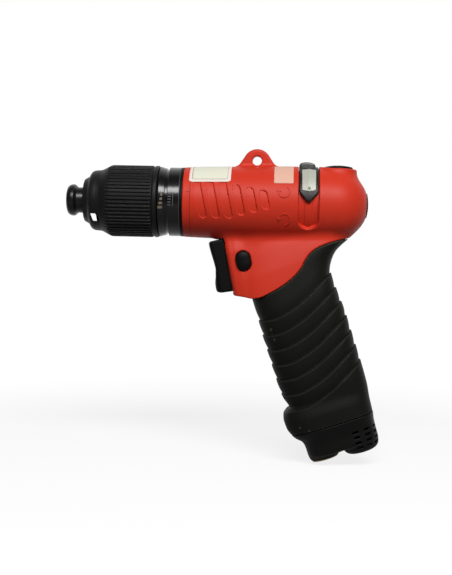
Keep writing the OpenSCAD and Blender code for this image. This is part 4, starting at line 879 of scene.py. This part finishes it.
def floor_material(centre):
    """Grey floor that keeps the shadow; the camera and reflections behind the object see it white."""
    m = bpy.data.materials.new("floor_white")
    m.use_nodes = True
    tree = m.node_tree
    link = tree.links.new
    shader = tree.nodes["Principled BSDF"]
    shader.inputs["Base Color"].default_value = (FLOOR_BASE, FLOOR_BASE, FLOOR_BASE, 1)
    shader.inputs["Roughness"].default_value = 0.9
    shader.inputs["Specular IOR Level"].default_value = 0.0
    shader.inputs["Emission Color"].default_value = (1, 1, 1, 1)
    place = tree.nodes.new("ShaderNodeTexCoord")
    away = tree.nodes.new("ShaderNodeVectorMath")
    away.operation = "DISTANCE"
    away.inputs[1].default_value = centre
    link(place.outputs["Object"], away.inputs[0])
    glow = remap(tree, away.outputs["Value"], 0.2, 0.6, FLOOR_GLOW, 1.0)
    path = tree.nodes.new("ShaderNodeLightPath")
    split = tree.nodes.new("ShaderNodeSeparateXYZ")
    link(place.outputs["Object"], split.inputs[0])
    behind = remap(tree, split.outputs["Y"], -0.05, 0.2, 0.02, 1.0)
    seen = either(tree, path.outputs["Is Camera Ray"], path.outputs["Is Transmission Ray"])
    seen = either(tree, seen, times(tree, behind, path.outputs["Is Glossy Ray"]))
    link(times(tree, glow, seen), shader.inputs["Emission Strength"])
    return m


def add_floor():
    """Wide floor just under the part."""
    z = cad_box[0][2] - FLOOR_DROP
    mesh = bpy.data.meshes.new("floor")
    corners = [(-1, -1), (1, -1), (1, 1), (-1, 1)]
    mesh.from_pydata([(FLOOR_HALF * u, FLOOR_HALF * v, z) for u, v in corners], [], [(0, 1, 2, 3)])
    mesh.materials.append(floor_material((0.13, 0.0, z)))
    floor = bpy.data.objects.new("floor", mesh)
    bpy.context.scene.collection.objects.link(floor)


def backdrop(tree, strength):
    """White background shader."""
    node = tree.nodes.new("ShaderNodeBackground")
    node.inputs["Color"].default_value = (1, 1, 1, 1)
    node.inputs["Strength"].default_value = strength
    return node


def blend(tree, factor, a, b):
    """Mix of two shaders."""
    node = tree.nodes.new("ShaderNodeMixShader")
    tree.links.new(factor, node.inputs[0])
    tree.links.new(a, node.inputs[1])
    tree.links.new(b, node.inputs[2])
    return node.outputs[0]


def add_room():
    """World that gives little light: white to the camera, and to reflections behind the object."""
    world = bpy.data.worlds.new("studio")
    bpy.context.scene.world = world
    world.use_nodes = True
    tree = world.node_tree
    tree.nodes.remove(tree.nodes["Background"])
    path = tree.nodes.new("ShaderNodeLightPath")
    place = tree.nodes.new("ShaderNodeTexCoord")
    split = tree.nodes.new("ShaderNodeSeparateXYZ")
    tree.links.new(place.outputs["Generated"], split.inputs[0])
    mirrored = backdrop(tree, 1.0)
    behind = remap(tree, split.outputs["Y"], 0.0, 0.7, FRONT_MIRROR, 1.0)
    tree.links.new(behind, mirrored.inputs["Strength"])
    reflects = either(tree, path.outputs["Is Glossy Ray"], path.outputs["Is Transmission Ray"])
    room = blend(tree, reflects, backdrop(tree, AMBIENT).outputs[0], mirrored.outputs[0])
    room = blend(tree, path.outputs["Is Camera Ray"], room, backdrop(tree, 1.0).outputs[0])
    tree.links.new(room, tree.nodes["World Output"].inputs["Surface"])


def softbox(name, place, aim, size, power):
    """Rectangular area lamp aimed at a point."""
    data = bpy.data.lights.new(name, "AREA")
    data.shape = "RECTANGLE"
    data.size, data.size_y = size
    data.energy = power
    obj = bpy.data.objects.new(name, data)
    bpy.context.scene.collection.objects.link(obj)
    obj.location = place
    obj.rotation_euler = (Vector(aim) - Vector(place)).to_track_quat("-Z", "Y").to_euler()


add_camera()
add_floor()
add_room()
softbox("key", (0.26, -0.82, 0.66), (0.1, 0, -0.03), (0.9, 0.34), 12.0)
bpy.context.scene.view_settings.view_transform = "Standard"

# pieces
moulded("red_housing", housing, (63, -22, -132), (170, 22, 32), 0.5, "housing", red,
        ["motor_housing"])
moulded("rubber_grip", sleeve, (94, -19, -131), (180, 19, -12), 0.5, "housing", rubber,
        ["grip_sleeve"])
moulded("black_base", base, (118, -18, -146), (184, 18, -108), 0.4, "housing",
        base_plastic, ["base_cap"])
moulded("knurled_cap", knurled_cap, (10, -20.6, -20.6), (54, 20.6, 20.6), 0.36, "clutch_cap",
        cap_plastic, ["torque_cap"])
moulded("trigger_blade", trigger, (76, -8, -53), (98, 8, -18), 0.4, "trigger", plastic,
        ["trigger"])
moulded("reverse_lever", lever, (128, -22, -4), (141, 12, 25), 0.3, "reverse", lever_black,
        ["reverse_lever"])
moulded("lever_knob", lever_knob, (128, -8, 17), (141, 7, 25), 0.3, "reverse", lever_dark)
moulded("lever_face", lever_face, (128, -22.5, 2), (141, -4, 22.5), 0.25, "reverse",
        lever_bright)
moulded("cross_button", lock_button, (93, -16, -43), (107, 18, -21), 0.4, "lock", plastic,
        ["lock_button"])

# Collar, turned, with its spring room and ball relief inside
front_round = [(3.0 - 2.9 * math.cos(q), 6.4 + 2.35 * math.sin(q)) for q in np.linspace(0.05, math.pi / 2, 14)]
to_neck = [(q, 8.75 - 1.65 * float(ramp(3.7, 6.2, q))) for q in np.linspace(3.7, 6.2, 14)]
inside = [(17.2, 7.1), (17.4, 6.9), (17.4, 5.05), (16.4, 5.05), (16.4, 6.05), (14.1, 6.05), (14.1, 5.05),
          (9.8, 5.05), (9.8, 6.05), (0.4, 6.05)]
turned("collar_sleeve", front_round + to_neck + inside, "collar", collar_black, ["bit_collar"])

# Round plugs of the top port and of the rear end, with their seal grooves
top_face = [(21.85 - 0.016 * q * q, q) for q in np.linspace(0, 7.8, 14)]
top_stem = [(20.5, 8.1), (20.1, 8.2), (19.75, 8.2), (19.62, 8.05), (19.62, 6.48), (18.42, 6.48), (18.42, 5.5),
            (17.22, 5.5), (17.22, 6.48), (13.42, 6.48), (13.42, 0)]
turned("top_cap", top_face + top_stem, "housing", plastic, ["top_plug"], 96, (PORT_X, 0), "z")
rear_stem = [(155.4, 0), (155.4, 4.98), (158.4, 4.98), (158.4, 4.0), (159.6, 4.0), (159.6, 4.98),
             (166.52, 4.98), (166.52, 6.6), (166.62, 6.75)]
rear_face = [(167.7 - 0.0185 * q * q, q) for q in np.linspace(6.7, 0, 12)]
turned("rear_disc", rear_stem + rear_face, "housing", plastic, ["rear_plug"], 96)


def coil(name, start, end, mean_r, wire_r, turns, bodies, replaced):
    """Spring of round wire from its start to its end."""
    start, end = Vector(start), Vector(end)
    axis = (end - start).normalized()
    side = Vector((0, 1, 0))
    up = axis.cross(side)
    steps, around = int(turns * 32), 12
    points, faces = [], []
    for k in range(steps + 1):
        a = 2 * math.pi * turns * k / steps
        out = side * math.cos(a) + up * math.sin(a)
        centre = start + axis * (wire_r + ((end - start).length - 2 * wire_r) * k / steps) + out * mean_r
        for j in range(around):
            b = 2 * math.pi * j / around
            points.append(centre + (out * math.cos(b) + axis * math.sin(b)) * wire_r)
    for k in range(steps):
        for j in range(around):
            here, there = k * around, (k + 1) * around
            j2 = (j + 1) % around
            faces.append((here + j, there + j, there + j2, here + j2))
    faces.append(tuple(range(around)))
    faces.append(tuple(reversed(range(steps * around, (steps + 1) * around))))
    across = (*bodies, start * MM, end * MM)
    return piece(name, [tuple(q) for q in points], faces, across, wire, [replaced])


def trigger_axis(d):
    """Point on the throttle's axis."""
    return (TRIGGER_X + d * math.cos(TRIGGER_TILT), 0, TRIGGER_Z + d * math.sin(TRIGGER_TILT))


# Springs at the collar, the torque seat and the trigger
coil("collar_coil", (1.85, 0, 0), (9.7, 0, 0), 5.55, 0.35, 4, ("spindle", "collar"), "collar_spring")
coil("clutch_coil", (32.5, 0, 0), (40.4, 0, 0), 10.2, 1.0, 2.2, ("torque_seat", "housing"), "clutch_spring")
coil("valve_coil", trigger_axis(27.8), trigger_axis(36.4), 3.9, 0.45, 4, ("trigger", "housing"), "valve_spring")

# Black joint behind the clutch ring with its bright rim, and the moulding line near the housing's front
joint_x1 = RED_X0 - 0.05
turned("front_joint", rounded([(BODY_X0, 17.45), (BODY_X0, 19.15), (joint_x1, 19.2), (joint_x1, 17.45)], 0.25),
       "housing", plastic)
turned("ring_rim", rounded([(64.05, 18.6), (64.05, 19.13), (64.38, 19.13), (64.38, 18.6)], 0.08),
       "housing", lever_dark)
cone = [(CONE_X0, 18.0), (CONE_X0, CONE_R), (CONE_X1, CONE_R - CONE_FALL), (CONE_X1, 17.0)]
turned("ring_cone", rounded(cone, 0.15), "housing", black_steel)
# The moulding line is a barely raised ring; its darker red is painted shade along the line
line_r = [float(barrel_r(x)) + 0.03 for x in (70.0, 70.35)]
turned("front_line", rounded([(70.0, 19.2), (70.0, line_r[0]), (70.35, line_r[1]), (70.35, 19.2)], 0.05),
       "housing", painted_shade_red)


def film(name, x0, x1, a0, a1, corner, lift, material, radius=barrel_r):
    """Thin rounded rectangle wrapped round the barrel's axis from the angle a0 to a1."""
    rows, columns, thick = 61, 33, 0.06
    length = arc(a1 - a0, LABEL_ARC)
    points = []
    for height in (lift, lift - thick):
        for v in np.linspace(0, length, rows):
            inset = max(0.0, corner - min(v, length - v))
            half = (x1 - x0) / 2 - corner + math.sqrt(max(0.0, corner ** 2 - inset ** 2))
            for u in np.linspace(-1, 1, columns):
                x = (x0 + x1) / 2 + u * half
                a = math.radians(a0) + v / LABEL_ARC
                r = float(radius(x)) + height
                points.append((x, -r * math.cos(a), r * math.sin(a)))
    total = rows * columns
    faces = []
    for j in range(rows - 1):
        for i in range(columns - 1):
            q = j * columns + i
            quad = (q, q + 1, q + columns + 1, q + columns)
            faces.append(quad)
            faces.append(tuple(total + k for k in reversed(quad)))
    rim = list(range(columns)) + [j * columns + columns - 1 for j in range(1, rows)]
    rim += [(rows - 1) * columns + i for i in range(columns - 2, -1, -1)]
    rim += [j * columns for j in range(rows - 2, 0, -1)]
    for a, b in zip(rim, rim[1:] + rim[:1]):
        faces.append((b, a, total + a, total + b))
    return piece(name, points, faces, "housing", material)


film("label_sheet", 69.3, 92.1, 31.0, 149.0, 1.6, 0.10, edge_white)
film("label_line", 70.9, 90.5, 36.0, 144.0, 0.9, 0.13, line_tan)
film("label_panel", 71.1, 90.3, 36.6, 143.4, 0.8, 0.16, cream)
film("small_label", 115.5, 126.0, 29.0, 100, 0.5, 0.10, pink)
# Painted shade: a darker red sheet where a small notch sits near the front
film("front_notch_shade", 68.0, 70.0, 13.0, 14.0, 0.1, 0.04, painted_shade_red)


def ring_r(x):
    """Radius of the clutch ring."""
    return RING_R


def cone_r(x):
    """Radius of the cone in front of the clutch ring."""
    return CONE_R - (x - CONE_X0) * CONE_FALL / (CONE_X1 - CONE_X0)


# Plain scale: five ticks and a line on the clutch ring, four growing bars on its cone
film("scale_line", 60.8, 61.15, -10, 12, 0.1, 0.05, scale_grey, ring_r)
for k in range(5):
    film(f"scale_tick_{k + 1}", 58.2, 59.9, 9.5 - 4.7 * k, 11.2 - 4.7 * k, 0.1, 0.05, scale_grey, ring_r)
for k in range(4):
    film(f"scale_bar_{k + 1}", 54.3 - 0.5 * k, 55.2, 6.5 - 7 * k, 10.5 - 7 * k, 0.2, 0.05, gold, cone_r)


MARK_R, MARK_HALF = 2.96, 0.42


def turn_mark(centre_x, centre_z, start, sweep):
    """Raised turning arrow on the near side: an arc with an arrowhead at its end."""
    c, s = math.cos(math.radians(start + sweep)), math.sin(math.radians(start + sweep))
    sense = np.sign(sweep)

    def field(x, y, z):
        a, b = x - centre_x, z - centre_z
        angle = np.degrees(np.arctan2(b, a)) - start
        along = np.mod(angle * sense + 30, 360) - 30
        ring = np.abs(np.hypot(a, b) - MARK_R) - MARK_HALF
        ring = np.maximum(ring, np.maximum(-along, along - abs(sweep)) * math.radians(MARK_R))
        out, forward = a * c + b * s - MARK_R, (b * c - a * s) * sense
        head = np.maximum(-forward, (forward - 2.0 + np.abs(out) * 1.35) * 0.6)
        skin = housing(x, y, z)
        mark = smax(np.minimum(ring, head), skin - 0.32, 0.25)
        return np.maximum(mark, np.maximum(-skin - 0.5, y))

    return field


for name, mark, z in (("turn_mark_upper", turn_mark(121.2, 5.5, 60, -240), 5.5),
                      ("turn_mark_lower", turn_mark(121.6, -9.4, -85, 250), -9.4)):
    moulded(name, mark, (117, -23, z - 5.5), (128, -14, z + 5.5), 0.2, "housing", red)
